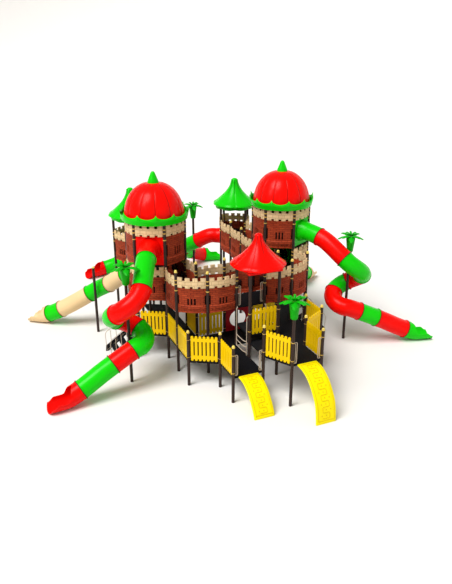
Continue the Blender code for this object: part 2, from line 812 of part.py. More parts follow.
def fence(name, start, end, deck, paint):
    """A flat panel of pickets on two rails."""
    a, b = world(AT[start]), world(AT[end])
    along = (b - a).normalized()
    first = post_reach(along, 0.02) + GAP
    length = (b - a).length - 2 * first
    origin = a + along * first
    stub = 0.05
    gap = 0.045
    picket = (length - 2 * stub - 6 * gap) / 7
    stops = [0.0, stub]
    for _ in range(7):
        stops.append(stops[-1] + picket)
        stops.append(stops[-1] + gap)
    stops[-1] = length
    levels = (0.02, 0.22, FENCE_HEIGHT - 0.22, FENCE_HEIGHT - 0.10, FENCE_HEIGHT)

    def place(i, j):
        x, z = stops[i], levels[j]
        if j == 4:
            x += picket * 0.22 * (1 if i % 2 else -1)
        return origin + along * x + Vector((0, 0, deck + z))

    def keep(column, row):
        return column % 2 == 1 or row in (0, 2)

    bm = bent_grid(15, 4, place, keep)
    bmesh.ops.dissolve_limit(bm, angle_limit=0.01, verts=bm.verts, edges=bm.edges)
    return sheet(name, bm, 0.04, paint, smooth=False)


def fences():
    yellow = material("yellow", (0.95, 0.55, 0.0), 0.4)
    low = [("left4", "left5"), ("left5", "walk1"), ("walk1", "front1"), ("front1", "front2")]
    low += [("front2", "front3"), ("left0", "inner1"), ("inner1", "inner2"), ("inner3", "inner4")]
    for i, (start, end) in enumerate(low, start=1):
        fence(f"low_deck_fence_{i}", start, end, LOW, yellow)
    entry = [("front4", "entry1"), ("entry2", "entry3"), ("entry3", "entry4")]
    entry += [("entry4", "entry5")]
    for i, (start, end) in enumerate(entry, start=1):
        fence(f"entry_deck_fence_{i}", start, end, ENTRY, yellow)
    fence("centre_deck_fence", "centre1", "centre2", CENTRE_DECK, yellow)


def hole_panel():
    """A crawl-through panel with a round hole, between two posts under the walkway."""
    start, end = world(AT["inner2"]), world(AT["inner3"])
    width = (end - start).length / 2 - post_reach((end - start).normalized(), 0.015) - GAP
    outline = [(-width, -0.5), (width, -0.5), (width, 0.5), (-width, 0.5)]
    turns = [2 * math.pi * i / 20 for i in range(20)]
    hole = [(0.34 * math.cos(turn), 0.34 * math.sin(turn)) for turn in turns]
    panel = flat_outline("round_hole_panel", [outline, hole], 0.03)
    middle = (start + end) / 2 + Vector((0, 0, LOW + GAP + 0.5))
    stand(panel, middle, (end - start).normalized())
    finish(panel, material("dark_red", (0.4, 0.008, 0.01), 0.4))


def climber(name, start, end, deck, profile, paint):
    """A wide arched board from a deck edge to the floor."""
    a, b = world(AT[start]), world(AT[end])
    along = (b - a).normalized()
    out = Vector((along.y, -along.x, 0))
    rows = len(profile) - 1

    def place(i, j):
        reach, z = profile[j]
        across = (a + b) / 2 + along * (i - 1.5) / 1.5 * 0.38
        return across + out * reach + Vector((0, 0, z))

    bm = bent_grid(3, rows, place)
    return sheet(name, bm, 0.03, paint, smooth=True)


def hoop_rails(name, start, end, deck, paint):
    """Two hoops beside an opening, joined by a bar along the deck edge."""
    a, b = world(AT[start]), world(AT[end])
    along = (b - a).normalized()
    out = Vector((along.y, -along.x, 0)) * -0.02
    points = []
    for post, towards in ((a, along), (b, -along)):
        near = post + towards * 0.085 + out
        far = post + towards * 0.165 + out
        foot, top = deck + 0.0088, deck + 0.86
        hoop = [near + Vector((0, 0, foot)), near + Vector((0, 0, top))]
        hoop += [far + Vector((0, 0, top)), far + Vector((0, 0, foot))]
        points += hoop if not points else hoop[::-1]
    return finish(tube_curve(name, points, 0.014), paint, smooth=True)


def climbers():
    yellow = material("bright_yellow", (0.98, 0.78, 0.0), 0.4)
    steel = material("light_metal", (0.55, 0.45, 0.36), 0.35, 0.8)
    low = ((0.0012, 0.985), (0.32, 0.965), (0.62, 0.86), (0.90, 0.66), (1.12, 0.40), (1.28, 0.16))
    low += ((1.34, 0.006),)
    climber("left_climber", "front3", "front4", LOW, low, yellow)
    high = [(reach, z + ENTRY - LOW) for reach, z in low[:-1]]
    high += [(1.36, 0.50), (1.40, 0.25), (1.43, 0.004)]
    climber("right_climber", "entry1", "entry2", ENTRY, high, yellow)
    hoop_rails("left_climber_hoops", "front3", "front4", LOW, steel)
    hoop_rails("right_climber_hoops", "entry1", "entry2", ENTRY, steel)


def stair(name, start, end, foot_z, top_z, steps, run, paint):
    """A flight that leaves a deck edge square to it: treads between two side plates."""
    a, b = world(AT[start]), world(AT[end])
    along = (b - a).normalized()
    out = Vector((along.y, -along.x, 0))
    half = (b - a).length / 2 - 0.16
    rise = (top_z - foot_z) / steps
    going = run / steps
    first = 0.0002
    side = [(first, top_z - 0.10), (first, top_z - 0.001), (first + 0.04, top_z - 0.001)]
    side += [(first + run, foot_z + rise), (first + run + 0.02, foot_z + 0.001)]
    side += [(first + run - 0.10, foot_z + 0.001), (first + 0.02, top_z - 0.22)]
    obj = None
    for k in (-1, 1):
        plate_obj = flat_outline(f"{name}_side{k}", [side], 0.02, "cutters" if obj else COLLECTION)
        stand(plate_obj, (a + b) / 2 + along * k * half, out)
        if obj:
            boolean(obj, plate_obj, "UNION")
        else:
            obj = plate_obj
            obj.name = name
    bm = bmesh.new()
    for k in range(1, steps):
        place = (a + b) / 2 + out * (first + going * (k - 0.1)) + Vector((0, 0, top_z - rise * k))
        made = bmesh.ops.create_cube(bm, size=1)
        turn = Matrix((along, out, Vector((0, 0, 1)))).transposed().to_4x4()
        size = Matrix.Diagonal((2 * half, going * 0.92, 0.035, 1))
        bmesh.ops.transform(bm, matrix=Matrix.Translation(place) @ turn @ size, verts=made["verts"])
    boolean(obj, add(f"{name}_treads", mesh_of(bm, name), "cutters"), "UNION")
    for k in (-1, 1):
        base = (a + b) / 2 + along * k * half
        rail = [base + out * (first + 0.04) + Vector((0, 0, top_z - 0.06))]
        rail.append(base + out * (first + 0.05) + Vector((0, 0, top_z + 0.62)))
        rail.append(base + out * (first + run * 0.45) + Vector((0, 0, top_z + 0.28)))
        rail.append(base + out * (first + run) + Vector((0, 0, foot_z + 0.85)))
        rail.append(base + out * (first + run - 0.03) + Vector((0, 0, foot_z + 0.06)))
        curve = tube_curve(f"{name}_rail{k}", rail, 0.016, "cutters")
        boolean(obj, curve, "UNION")
    return finish(obj, paint)


def ladder(name, start, end, foot_z, top_z, paint):
    """Two bars that hook onto posts above a deck edge, with bowed rungs between them."""
    a, b = world(AT[start]), world(AT[end])
    along = (b - a).normalized()
    out = Vector((along.y, -along.x, 0))
    near = post_reach(along, 0.018) + GAP
    lift = Vector((0, 0, 1))
    feet = [a + along * 0.13 + out * 0.05, b - along * 0.13 + out * 0.05]
    obj = None
    for foot, post, inward in ((feet[0], a, along), (feet[1], b, -along)):
        path = [foot + lift * foot_z, foot + lift * (top_z - 0.12)]
        path.append(post + inward * 0.125 + out * 0.02 + lift * (top_z - 0.02))
        path += [post + inward * 0.105 + lift * top_z, post + inward * near + lift * top_z]
        bar = tube_curve(f"{name}_bar", path, 0.018, "cutters" if obj else COLLECTION)
        obj = boolean(obj, bar, "UNION") if obj else bar
    obj.name = name
    for z in LADDER_RUNGS:
        rung = [feet[0] + lift * z, feet[0] + along * 0.18 + out * 0.07 + lift * z]
        rung += [feet[1] - along * 0.18 + out * 0.07 + lift * z, feet[1] + lift * z]
        boolean(obj, tube_curve(f"{name}_rung", rung, 0.016, "cutters"), "UNION")
    return finish(obj, paint, smooth=True)


def stairs():
    black = material("deck_black", (0.012, 0.012, 0.014), 0.5)
    steel = material("light_metal", (0.55, 0.45, 0.36), 0.35, 0.8)
    stair("left_stair", "left3", "left4", 0, LOW, 4, 1.16, black)
    stair("right_stair", "right5", "right4", 0, LOW, 4, 1.16, black)
    ladder("centre_ladder", "walk3", "centre1", LOW + GAP, LADDER_TOP, steel)


def palm(name, centre, foot, height, paint):
    """A pole that ends in a cup, with a star of leaves on it."""
    place = world(centre)
    columns = 3 * PALM_LEAVES
    profile = ((0.02, 0.05), (0.14, 0.06), (0.36, 0.045), (0.50, -0.01))
    widths = (1, 1, 0.85, 0.2)

    def spot(i, j):
        reach, z = profile[j]
        leaf, edge = divmod(i, 3)
        mid = 2 * math.pi * (leaf + 1 / 3) / PALM_LEAVES
        turn = 2 * math.pi * i / columns
        if j > 1:
            turn = mid + 2 * math.pi * (edge - 1) / columns * widths[j]
        return (place.x + reach * math.cos(turn), place.y + reach * math.sin(turn), height + z)

    def keep(column, row):
        return column % 3 != 2 or row == 0

    bm = bent_grid(columns, 3, spot, keep, weld=0.0005)
    leaves = sheet(name, bm, 0.022, paint)
    bm = bmesh.new()
    stem = [(0, foot), (POST_RADIUS, foot), (POST_RADIUS, height - CUP_HEIGHT)]
    stem += [(0.13, height - CUP_HEIGHT), (0.19, height + 0.03), (0.05, height + 0.10)]
    if foot:
        stem = [(0, foot), *stem[3:]]
    turned(bm, place, (*stem, (0, height + 0.10)), POST_SIDES)
    boolean(leaves, add(f"{name}_pole", mesh_of(bm, "pole"), "cutters"), "UNION")


def palms_and_poles():
    leaf = material("leaf_green", (0.02, 0.5, 0.01), 0.45)
    palm("left_palm", LEFT_PALM, 0, 4.45, leaf)
    palm("right_palm", RIGHT_PALM, 0, 4.45, leaf)
    palm("back_right_palm", BACK_PALM, 0, 4.0, leaf)
    palm("back_left_palm", mirrored(BACK_PALM), 0, 4.0, leaf)
    palm("front_palm_crown", AT["entry1"], PALM_POST_TOP + GAP, PALM_POST_TOP + CUP_HEIGHT, leaf)
    bm = bmesh.new()
    cap = ((POST_RADIUS, 2.96), (0.045, 3.0), (0, 3.02))
    turned(bm, world(SIDE_POLE), ((0, 0), (POST_RADIUS, 0), *cap), POST_SIDES)
    pole = add("side_pole", mesh_of(bm, "side_pole"))
    finish(pole, material("post", (0.045, 0.025, 0.022)), smooth=True)


def main():
    start_clean()
    decks_and_posts()
    walls()
    roofs()
    slides()
    fences()
    hole_panel()
    climbers()
    stairs()
    palms_and_poles()


main()
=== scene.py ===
"""Looks for the castle play structure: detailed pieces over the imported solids, floor, lights, camera."""

from math import atan2, ceil, cos, pi, radians, sin, sqrt, tau

import bmesh
import bpy
from mathutils import Matrix, Vector

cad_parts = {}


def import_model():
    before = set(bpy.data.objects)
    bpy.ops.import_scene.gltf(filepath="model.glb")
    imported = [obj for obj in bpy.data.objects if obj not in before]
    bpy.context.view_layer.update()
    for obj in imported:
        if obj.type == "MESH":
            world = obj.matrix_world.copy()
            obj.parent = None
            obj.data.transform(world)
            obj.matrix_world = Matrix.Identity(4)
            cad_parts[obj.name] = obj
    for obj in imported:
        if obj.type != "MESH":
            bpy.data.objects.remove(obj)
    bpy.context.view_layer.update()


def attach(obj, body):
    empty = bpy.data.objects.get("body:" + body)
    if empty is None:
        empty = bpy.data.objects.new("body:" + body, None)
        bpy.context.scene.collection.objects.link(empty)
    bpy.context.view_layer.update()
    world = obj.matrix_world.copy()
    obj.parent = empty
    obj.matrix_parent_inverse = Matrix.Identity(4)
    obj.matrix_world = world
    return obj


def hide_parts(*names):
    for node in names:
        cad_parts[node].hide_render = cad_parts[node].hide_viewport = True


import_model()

# The grid of post centres: each row is a new post, the post it is one module from, and the heading
MODULE = 1.16
CENTRE = (0.1500, 4.2212)
MIRROR_POINT = (0.049, 2.915)
MIRROR_ANGLE = 120
FRONT_GRID = """
walk1 walk2 180, walk3 walk2 30, inner1 walk2 120, inner2 inner1 30, inner3 inner2 30,
inner4 inner3 30, front1 walk1 300, front2 walk2 300, front3 front2 300, front4 front3 30,
centre1 front2 30, centre2 centre1 30, walk4 centre2 120, walk5 walk4 30, walk6 walk5 60,
entry1 front4 -30, entry2 entry1 30, entry3 entry2 120, entry4 entry3 60, entry5 entry4 120
"""
BRIDGE_GRID = """
left_bridge1 left1 120, left_bridge2 left_bridge1 120, left_bridge3 left_bridge2 120,
left_bridge4 left2 120, left_bridge5 left_bridge4 120, left_bridge6 left_bridge5 150,
left_bridge7 left_bridge3 150
"""

# Heights of decks and of post tops
LOW = 1.0
ENTRY = 1.6
CENTRE_DECK = 1.87
WALKWAY = 2.54
TOP_DECK = 3.94
FRONT_POST_TOP = 2.22
ENTRY_POST_TOP = 2.78
PALM_POST_TOP = 3.34
WALKWAY_POST_TOP = 4.12
CONE_POST_TOP = 4.54
ROOF_POST_TOP = 4.36
TOWER_POST_TOP = 5.50
BALL_TOPS = (FRONT_POST_TOP, ENTRY_POST_TOP, WALKWAY_POST_TOP)

# Posts, decks and walls
POST_RADIUS = 0.057
DECK_THICK = 0.06
BALL_RADIUS = 0.052
BRICK_HEIGHT = 0.94
BATTLEMENT_HEIGHT = 0.395
TOWER_BRICK_HEIGHT = 1.12
BRICK_THICK = 0.036
CREAM_THICK = 0.05
BULGE = 0.11
PANEL_INSET = 0.063
SLIT = 0.068
SLIT_STEP = 0.124
WINDOW_LOW = 0.30
WINDOW_HIGH = 0.58
NOTCH = 0.05
NOTCH_HIGH = 0.70
LEDGE = (0.13, 0.255)
LEDGE_OUT = 0.024
SEAM = 0.007
MERLON = 0.12
MERLON_BLOCKS = (5, 3, 5, 3, 5, 3, 5)

# Roofs
LEAVES = 12
FOLDS = 8
DOME_ROWS = 18
ROOF_THICK = 0.02
# Radius of the dark rods of painted shade in the roof grooves
CREASE_SHADE_RADIUS = 0.015

# Slides
TUBE_RADIUS = 0.36
TUBE_WALL = 0.012
TUBE_SIDES = 32
RING_STEP = 0.07
FLARE_RINGS = 5
TOWER_FLARE = 0.10
WALKWAY_FLARE = 0.03
LIP = 0.014
LIP_WIDTH = 0.022
# Half width and radii of the dark ring at each slide joint, which is painted shade between the lips
JOINT_SHADE_HALF = 0.015
JOINT_SHADE_RADII = (TUBE_RADIUS - 0.01, TUBE_RADIUS + 0.026)
SPIRAL_RADIUS = 0.56
SPIRAL_ENTRY = 4.54
SPIRAL_TOP = 3.8
SPIRAL_FOOT = 1.62
# Joints, as shares of a slide's length
LEFT_SPIRAL_JOINTS = (0.079, 0.215, 0.347, 0.445, 0.537, 0.662, 0.742, 0.876)
RIGHT_SPIRAL_JOINTS = (0.085, 0.217, 0.343, 0.437, 0.505, 0.666, 0.745, 0.88)
SIDE_JOINTS = (0.13, 0.315, 0.494, 0.73, 0.836)
BACK_JOINTS = (0.17, 0.36, 0.54, 0.71, 0.87)

# Smaller parts
FENCE_HEIGHT = 1.02
PICKETS = 7
PICKET_GAP = 0.045
HOLE_RADIUS = 0.35
BOARD_STEP = 0.05
LADDER_TOP = 2.57
LADDER_RUNGS = (1.12, 1.34, 1.56)
CUP_HEIGHT = 0.56
SPIRAL_PALM_TOP = 4.45
BACK_PALM_TOP = 4.0
POLE_TOP = 2.95
STAIR_STEPS = 4
STAIR_RUN = 1.16
# Along a palm leaf: shares of its length, and half its width there
LEAF_SHARES = (0.12, 0.3, 0.45, 0.52, 0.68, 0.75, 0.9, 1.0)
LEAF_HALVES = (0.055, 0.085, 0.112, 0.088, 0.104, 0.074, 0.060, 0.006)


def heading(angle):
    turn = radians(angle)
    return Vector((cos(turn), sin(turn)))


def step(start, angle, modules=1.0):
    return start + heading(angle) * modules


def mirrored(point):
    across = heading(MIRROR_ANGLE - 90)
    offset = (point - Vector(MIRROR_POINT)).dot(across)
    return point - across * (2 * offset)


def world(point, z=0.0):
    """A point of the plan, in metres."""
    flat = (Vector(point) - Vector(CENTRE)) * MODULE
    return Vector((flat.x, flat.y, z))


def up(z):
    return Vector((0, 0, z))


def grid_points():
    """The posts by name. Those on the right mirror those on the left."""
    at = {"walk2": Vector((0, 0))}

    def lay(rows):
        for row in rows.split(","):
            name, start, angle = row.split()
            at[name] = step(at[start], int(angle))

    lay(FRONT_GRID)
    tower = step(step(at["walk1"], 120), 120)
    for i in range(6):
        at[f"left{i}"] = step(tower, 60 * i)
    lay(BRIDGE_GRID)
    for name in [name for name in at if name.startswith("left")]:
        at[name.replace("left", "right")] = mirrored(at[name])
    return at


AT = grid_points()
LEFT_PALM = Vector((-2.367, -0.865))
RIGHT_PALM = Vector((4.563, 3.119))
BACK_PALM = Vector((-1.80, 8.15))
SIDE_POLE = Vector((-4.553, 2.62))
LEFT_TOWER = sum((AT[f"left{i}"] for i in range(6)), Vector((0, 0))) / 6
RIGHT_TOWER = mirrored(LEFT_TOWER)


# Materials


def feed(tree, node, **inputs):
    """Links or sets a node's inputs, named with _ for a space. A tuple is a colour."""
    for name, value in inputs.items():
        socket = node.inputs[name.replace("_", " ")]
        if isinstance(value, bpy.types.NodeSocket):
            tree.links.new(value, socket)
        else:
            socket.default_value = (*value, 1) if isinstance(value, tuple) else value


def new_node(tree, kind, setup=None, **inputs):
    made = tree.nodes.new("ShaderNode" + kind)
    for name, value in (setup or {}).items():
        setattr(made, name, value)
    feed(tree, made, **inputs)
    return made


def shader_nodes(name, colour, roughness, specular):
    made = bpy.data.materials.new(name)
    made.use_nodes = True
    shader = made.node_tree.nodes["Principled BSDF"]
    feed(made.node_tree, shader, Base_Color=colour, Roughness=roughness, Specular_IOR_Level=specular)
    return made, made.node_tree, shader


def mix_colours(tree, factor, dark, light, blend="MIX"):
    setup = {"data_type": "RGBA", "blend_type": blend}
    return new_node(tree, "Mix", setup, Factor=factor, A=dark, B=light).outputs["Result"]


def noise(tree, scale, detail):
    place = new_node(tree, "TexCoord").outputs["Object"]
    return new_node(tree, "TexNoise", Scale=scale, Detail=detail, Vector=place).outputs["Fac"]


def bump(tree, height, strength, distance, **under):
    made = new_node(tree, "Bump", Strength=strength, Distance=distance, Height=height, **under)
    return made.outputs["Normal"]


def coating(name, colour, roughness, specular, mottle, tones, grain, gloss, relief):
    """Colour that varies softly over the piece, with a fine skin and uneven gloss."""
    made, tree, shader = shader_nodes(name, colour, roughness, specular)
    dark, light = (tuple(min(1, part * tone) for part in colour) for tone in tones)
    mottled = mix_colours(tree, noise(tree, *mottle), dark, light)
    fine = noise(tree, grain, 2.0)
    ends = {"To_Min": roughness - gloss[0], "To_Max": roughness + gloss[1]}
    uneven = new_node(tree, "MapRange", Value=fine, **ends).outputs["Result"]
    feed(tree, shader, Base_Color=mottled, Roughness=uneven, Normal=bump(tree, fine, *relief))
    return made


def plastic(name, *look):
    return coating(name, *look, (1.6, 2.0), (0.88, 1.05), 160.0, (0.05, 0.08), (0.1, 0.0012))


def coated_metal(name, *look):
    return coating(name, *look, (3.0, 3.0), (0.8, 1.2), 420.0, (0.1, 0.12), (0.2, 0.0008))


def masonry(name, faces, mortar, width, height, depth):
    """Moulded courses of blocks, drawn on the panel's own UV map, which is in metres."""
    made, tree, shader = shader_nodes(name, faces[0], 0.6, 0.12)
    uv = new_node(tree, "UVMap", {"uv_map": "panel"}).outputs["UV"]
    wobble = new_node(tree, "TexNoise", Scale=9.0, Vector=uv)
    shift = new_node(tree, "VectorMath", {"operation": "MULTIPLY_ADD"})
    shift.inputs[1].default_value = (0.014, 0.014, 0)
    tree.links.new(wobble.outputs["Color"], shift.inputs[0])
    tree.links.new(uv, shift.inputs[2])
    colours = {"Color1": faces[0], "Color2": faces[1], "Mortar": mortar}
    sizes = {"Mortar_Size": 0.007, "Mortar_Smooth": 0.3, "Brick_Width": width, "Row_Height": height}
    place = shift.outputs["Vector"]
    blocks = new_node(tree, "TexBrick", Scale=1.0, Vector=place, **colours, **sizes).outputs
    stain = mix_colours(tree, noise(tree, 2.2, 4.0), (0.74, 0.70, 0.68), (1.2, 1.2, 1.2))
    stained = mix_colours(tree, 1.0, blocks["Color"], stain, "MULTIPLY")
    rough = bump(tree, noise(tree, 60.0, 4.0), 0.5, 0.004)
    jointed = bump(tree, blocks["Fac"], 1.0, -depth, Normal=rough)
    feed(tree, shader, Base_Color=stained, Normal=jointed)
    return made


def deck_sheet(name, colour):
    """Coated deck plate with rows of small round holes."""
    made, tree, shader = shader_nodes(name, colour, 0.7, 0.1)
    place = new_node(tree, "TexCoord").outputs["Object"]
    dots = new_node(tree, "TexVoronoi", Scale=28.0, Randomness=0.0, Vector=place).outputs["Distance"]
    hole = new_node(tree, "MapRange", From_Min=0.26, From_Max=0.34, Value=dots).outputs["Result"]
    shown = mix_colours(tree, hole, tuple(part * 0.15 for part in colour), colour)
    feed(tree, shader, Base_Color=shown, Normal=bump(tree, hole, 0.6, 0.004))
    return made


# Colour, roughness and specular level
PLASTICS = {
    "red_plastic": ((0.88, 0.003, 0.001), 0.24, 0.10),
    "green_plastic": ((0.006, 0.60, 0.003), 0.24, 0.13),
    "leaf_green_plastic": ((0.004, 0.40, 0.004), 0.36, 0.12),
    "cream_tube": ((0.80, 0.57, 0.30), 0.3, 0.16),
    "yellow_plastic": ((0.88, 0.57, 0.0), 0.36, 0.13),
    "bright_yellow_plastic": ((0.92, 0.78, 0.0), 0.34, 0.14),
    # The next two colours are painted shade, for the dark lines in the roof grooves
    "seam_red": ((0.33, 0.004, 0.003), 0.4, 0.1),
    "seam_green": ((0.003, 0.20, 0.003), 0.4, 0.1),
    "ridge_yellow": ((0.74, 0.50, 0.0), 0.36, 0.12),
    "dark_red_plastic": ((0.42, 0.006, 0.016), 0.34, 0.13),
    "cap_yellow": ((0.86, 0.66, 0.16), 0.38, 0.13),
}
METALS = {
    # The next colour is painted shade, for the dark rings at the slide joints
    "joint_painted_shade": ((0.075, 0.014, 0.010), 0.6, 0.1),
    "gold_clamp": ((0.66, 0.42, 0.09), 0.4, 0.35),
    "dark_posts": ((0.036, 0.020, 0.016), 0.42, 0.2),
    "light_metal": ((0.52, 0.42, 0.32), 0.4, 0.3),
    # The next colour is painted shade, for the sheets behind the wall slits and notches
    "window_painted_shade": ((0.020, 0.006, 0.006), 0.7, 0.1),
}
BRICK_FACES = ((0.43, 0.062, 0.020), (0.31, 0.040, 0.014))
CREAM_FACES = ((0.80, 0.59, 0.33), (0.70, 0.50, 0.27))
PAINTS = {name: plastic(name, *look) for name, look in PLASTICS.items()}
PAINTS |= {name: coated_metal(name, *look) for name, look in METALS.items()}
PAINTS |= {
    "black_metal": deck_sheet("black_metal", (0.008, 0.008, 0.010)),
    "brick_red_plastic": masonry("brick_red_plastic", BRICK_FACES, (0.12, 0.016, 0.008), 0.23, 0.078, 0.009),
    "cream_plastic": masonry("cream_plastic", CREAM_FACES, (0.46, 0.31, 0.16), 0.23, 0.13, 0.006),
}


# Mesh helpers


def link(name, data):
    obj = bpy.data.objects.new(name, data)
    bpy.context.scene.collection.objects.link(obj)
    return obj


def add(name, bm):
    """A new object from a bmesh, which is used up. Corners that no face uses are left out."""
    loose = [vert for vert in bm.verts if not vert.link_faces]
    bmesh.ops.delete(bm, geom=loose, context="VERTS")
    mesh = bpy.data.meshes.new(name)
    bm.to_mesh(mesh)
    bm.free()
    return link(name, mesh)


def piece(obj, paint, *nodes, smooth=True, sharp=40):
    """Gives the object its material and slot, and lets it stand for these CAD nodes."""
    obj.data.materials.clear()
    obj.data.materials.append(PAINTS[paint])
    if smooth:
        obj.data.shade_smooth()
        obj.data.set_sharp_from_angle(angle=radians(sharp))
    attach(obj, "root")
    if nodes:
        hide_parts(*nodes)
    return obj


def circle(count):
    """The corners of a unit circle."""
    turns = [tau * i / count for i in range(count)]
    return [(cos(turn), sin(turn)) for turn in turns]


def arc(x, y, width, height, turns):
    return [(x + width * cos(turn), y + height * sin(turn)) for turn in turns]


def about(centre, share, radius, z):
    """A point at this share of a turn round a vertical line, this high above the centre on it."""
    turn = tau * share
    return (centre.x + radius * cos(turn), centre.y + radius * sin(turn), centre.z + z)


def bent_grid(columns, rows, place, keep=None, weld=0.0, uv=None, bm=None):
    """A sheet of cells whose corner (i, j) sits at place(i, j), without the cells not kept."""
    bm = bmesh.new() if bm is None else bm
    if uv:
        layer = bm.loops.layers.uv.get("panel") or bm.loops.layers.uv.new("panel")
    corners = [[bm.verts.new(place(i, j)) for j in range(rows + 1)] for i in range(columns + 1)]
    for i in range(columns):
        for j in range(rows):
            if keep and not keep(i, j):
                continue
            spots = ((i, j), (i + 1, j), (i + 1, j + 1), (i, j + 1))
            face = bm.faces.new([corners[a][b] for a, b in spots])
            if uv:
                for loop, (a, b) in zip(face.loops, spots):
                    loop[layer].uv = uv(a, b)
    if weld:
        bmesh.ops.remove_doubles(bm, verts=bm.verts, dist=weld)
    return bm


def bevel_edges(obj, width, angle=None):
    edge = obj.modifiers.new("edge", "BEVEL")
    edge.width = width
    edge.segments = 2
    if angle:
        edge.limit_method = "ANGLE"
        edge.angle_limit = radians(angle)
    return obj


def shell(name, bm, thick, paint, *nodes, bevel=0.0, sharp=40, outward=False):
    """A piece of this thickness from a sheet. outward makes all its faces look the same way."""
    if outward:
        bmesh.ops.recalc_face_normals(bm, faces=bm.faces)
    obj = add(name, bm)
    solid = obj.modifiers.new("thickness", "SOLIDIFY")
    solid.thickness = thick
    solid.offset = 0
    solid.use_even_offset = True
    if bevel:
        bevel_edges(obj, bevel, 50)
    return piece(obj, paint, *nodes, sharp=sharp)


def add_turned(bm, centre, profile, sides):
    """Adds a round solid about a vertical line. The profile starts and ends on that line."""
    rings = []
    for radius, z in profile:
        corners = circle(sides) if radius else [(0, 0)]
        rings.append([bm.verts.new((centre.x + radius * x, centre.y + radius * y, z)) for x, y in corners])
    for low, high in zip(rings, rings[1:]):
        for i in range(sides):
            k = (i + 1) % sides
            if len(low) == 1:
                bm.faces.new((low[0], high[k], high[i]))
            elif len(high) == 1:
                bm.faces.new((low[i], low[k], high[0]))
            else:
                bm.faces.new((low[i], low[k], high[k], high[i]))


def turned(name, centre, profile, sides, paint, *nodes):
    """A round solid as a piece of its own."""
    bm = bmesh.new()
    add_turned(bm, centre, profile, sides)
    return piece(add(name, bm), paint, *nodes)


def add_band(bm, centre, z, half, reach, rim=0.0):
    """Adds a ring round a post, with its outer edge sloped where it has a rim."""
    edge = [(reach - rim, z - half), (reach - rim, z + half)]
    if rim:
        edge.insert(1, (reach, z))
    add_turned(bm, centre, [(0, z - half), *edge, (0, z + half)], 20)


def facing(x_axis, y_axis):
    """The turn that lays X and Y along these directions."""
    x, y = Vector(x_axis).normalized(), Vector(y_axis).normalized()
    return Matrix((x, y, x.cross(y))).transposed().to_4x4()


def box_into(bm, centre, x_axis, y_axis, size):
    """Adds a box of this size whose first two sides run along these directions."""
    made = bmesh.ops.create_cube(bm, size=1)
    place = Matrix.Translation(centre) @ facing(x_axis, y_axis) @ Matrix.Diagonal((*size, 1))
    bmesh.ops.transform(bm, matrix=place, verts=made["verts"])


def curve_object(name, data, paths, cyclic):
    """A mesh object from a bevelled curve through these lists of points."""
    for points in paths:
        spline = data.splines.new("POLY")
        spline.points.add(len(points) - 1)
        for point, place in zip(spline.points, points):
            point.co = (*place, 1)
        spline.use_cyclic_u = cyclic
    curve = link(name + "_path", data)
    bpy.context.view_layer.update()
    graph = bpy.context.evaluated_depsgraph_get()
    mesh = bpy.data.meshes.new_from_object(curve.evaluated_get(graph))
    mesh.name = name
    bpy.data.objects.remove(curve)
    return link(name, mesh)


def rods(name, paths, radius, paint, *nodes, sides=3):
    """Bent round bars through these lists of points, as one object."""
    data = bpy.data.curves.new(name, "CURVE")
    data.dimensions = "3D"
    data.bevel_depth = radius
    data.bevel_resolution = sides
    data.use_fill_caps = True
    return piece(curve_object(name, data, paths, False), paint, *nodes)


def rounded(points, radius, steps=5):
    """The same path with its inner corners turned into arcs."""
    result = [points[0]]
    for a, b, c in zip(points, points[1:], points[2:]):
        first, last = (b + (end - b).normalized() * min(radius, (end - b).length / 2) for end in (a, c))
        for k in range(steps + 1):
            t = k / steps
            result.append(first * (1 - t) ** 2 + b * (2 * t * (1 - t)) + last * t**2)
    result.append(points[-1])
    return result


def upright_plate(name, loops, thick, place, along, bevel=0.004):
    """A plate with rounded edges that stands here, its outline's X along a direction and Y up.

    The first closed outline is its edge and the later ones are holes.
    """
    data = bpy.data.curves.new(name, "CURVE")
    data.dimensions = "2D"
    data.fill_mode = "BOTH"
    data.extrude = thick / 2 - bevel
    data.bevel_depth = bevel
    data.bevel_resolution = 1
    data.offset = -bevel
    obj = curve_object(name, data, [[(x, y, 0) for x, y in loop] for loop in loops], True)
    obj.data.transform(Matrix.Translation(place) @ facing(along, up(1)))
    return obj


def between(start, end):
    """The middle between two posts, half their distance, the way along and the way out."""
    a, b = world(AT[start]), world(AT[end])
    along = (b - a).normalized()
    return (a + b) / 2, (b - a).length / 2, along, Vector((along.y, -along.x, 0))


def both_ends(start, end):
    """Each of two posts, with the way from it to the other."""
    along = between(start, end)[2]
    return (world(AT[start]), along), (world(AT[end]), -along)


# Posts and decks


def upper_posts(side, numbers):
    return " ".join(f"{side}_bridge{i}" for i in numbers)


# Each frame has decks, as an outline and a top, and posts, with their top and foot
FRONT_DECK = """
left4 left5 walk1 front1 front2 front3 front4 centre1 walk3 walk4 walk5 walk6 right5 right0
inner4 inner3 inner2 inner1 left0 left1 left_bridge1 left_bridge4 left2 left3
"""
WALKWAY_DECK = "left5 walk1 walk2 walk3 walk4 walk5 walk6 right5 right0 inner4 inner3 inner2 inner1 left0"
ENTRY_DECK = "front4 entry1 entry2 entry3 entry4 entry5 walk5 walk4 centre2 centre1"
CENTRE_POSTS = "centre1 centre2 walk4 walk3"
FRAMES = {
    "front_deck_frame": (
        [(FRONT_DECK, LOW)],
        [("front1 front2 front3", FRONT_POST_TOP, 0), ("front4", ENTRY_POST_TOP, 0)],
    ),
    "entry_deck_frame": (
        [(ENTRY_DECK, ENTRY)],
        [
            ("entry2 entry4 entry5", ENTRY_POST_TOP, 0),
            ("entry1", PALM_POST_TOP, 0),
            ("entry3", ENTRY_POST_TOP, ENTRY - DECK_THICK / 2),
        ],
    ),
    "centre_deck_frame": ([(CENTRE_POSTS, CENTRE_DECK)], [(CENTRE_POSTS, ROOF_POST_TOP, 0)]),
    "walkway_frame": (
        [(WALKWAY_DECK, WALKWAY)],
        [("walk1 walk2 walk5 walk6 inner1 inner2 inner3 inner4", WALKWAY_POST_TOP, 0)],
    ),
}
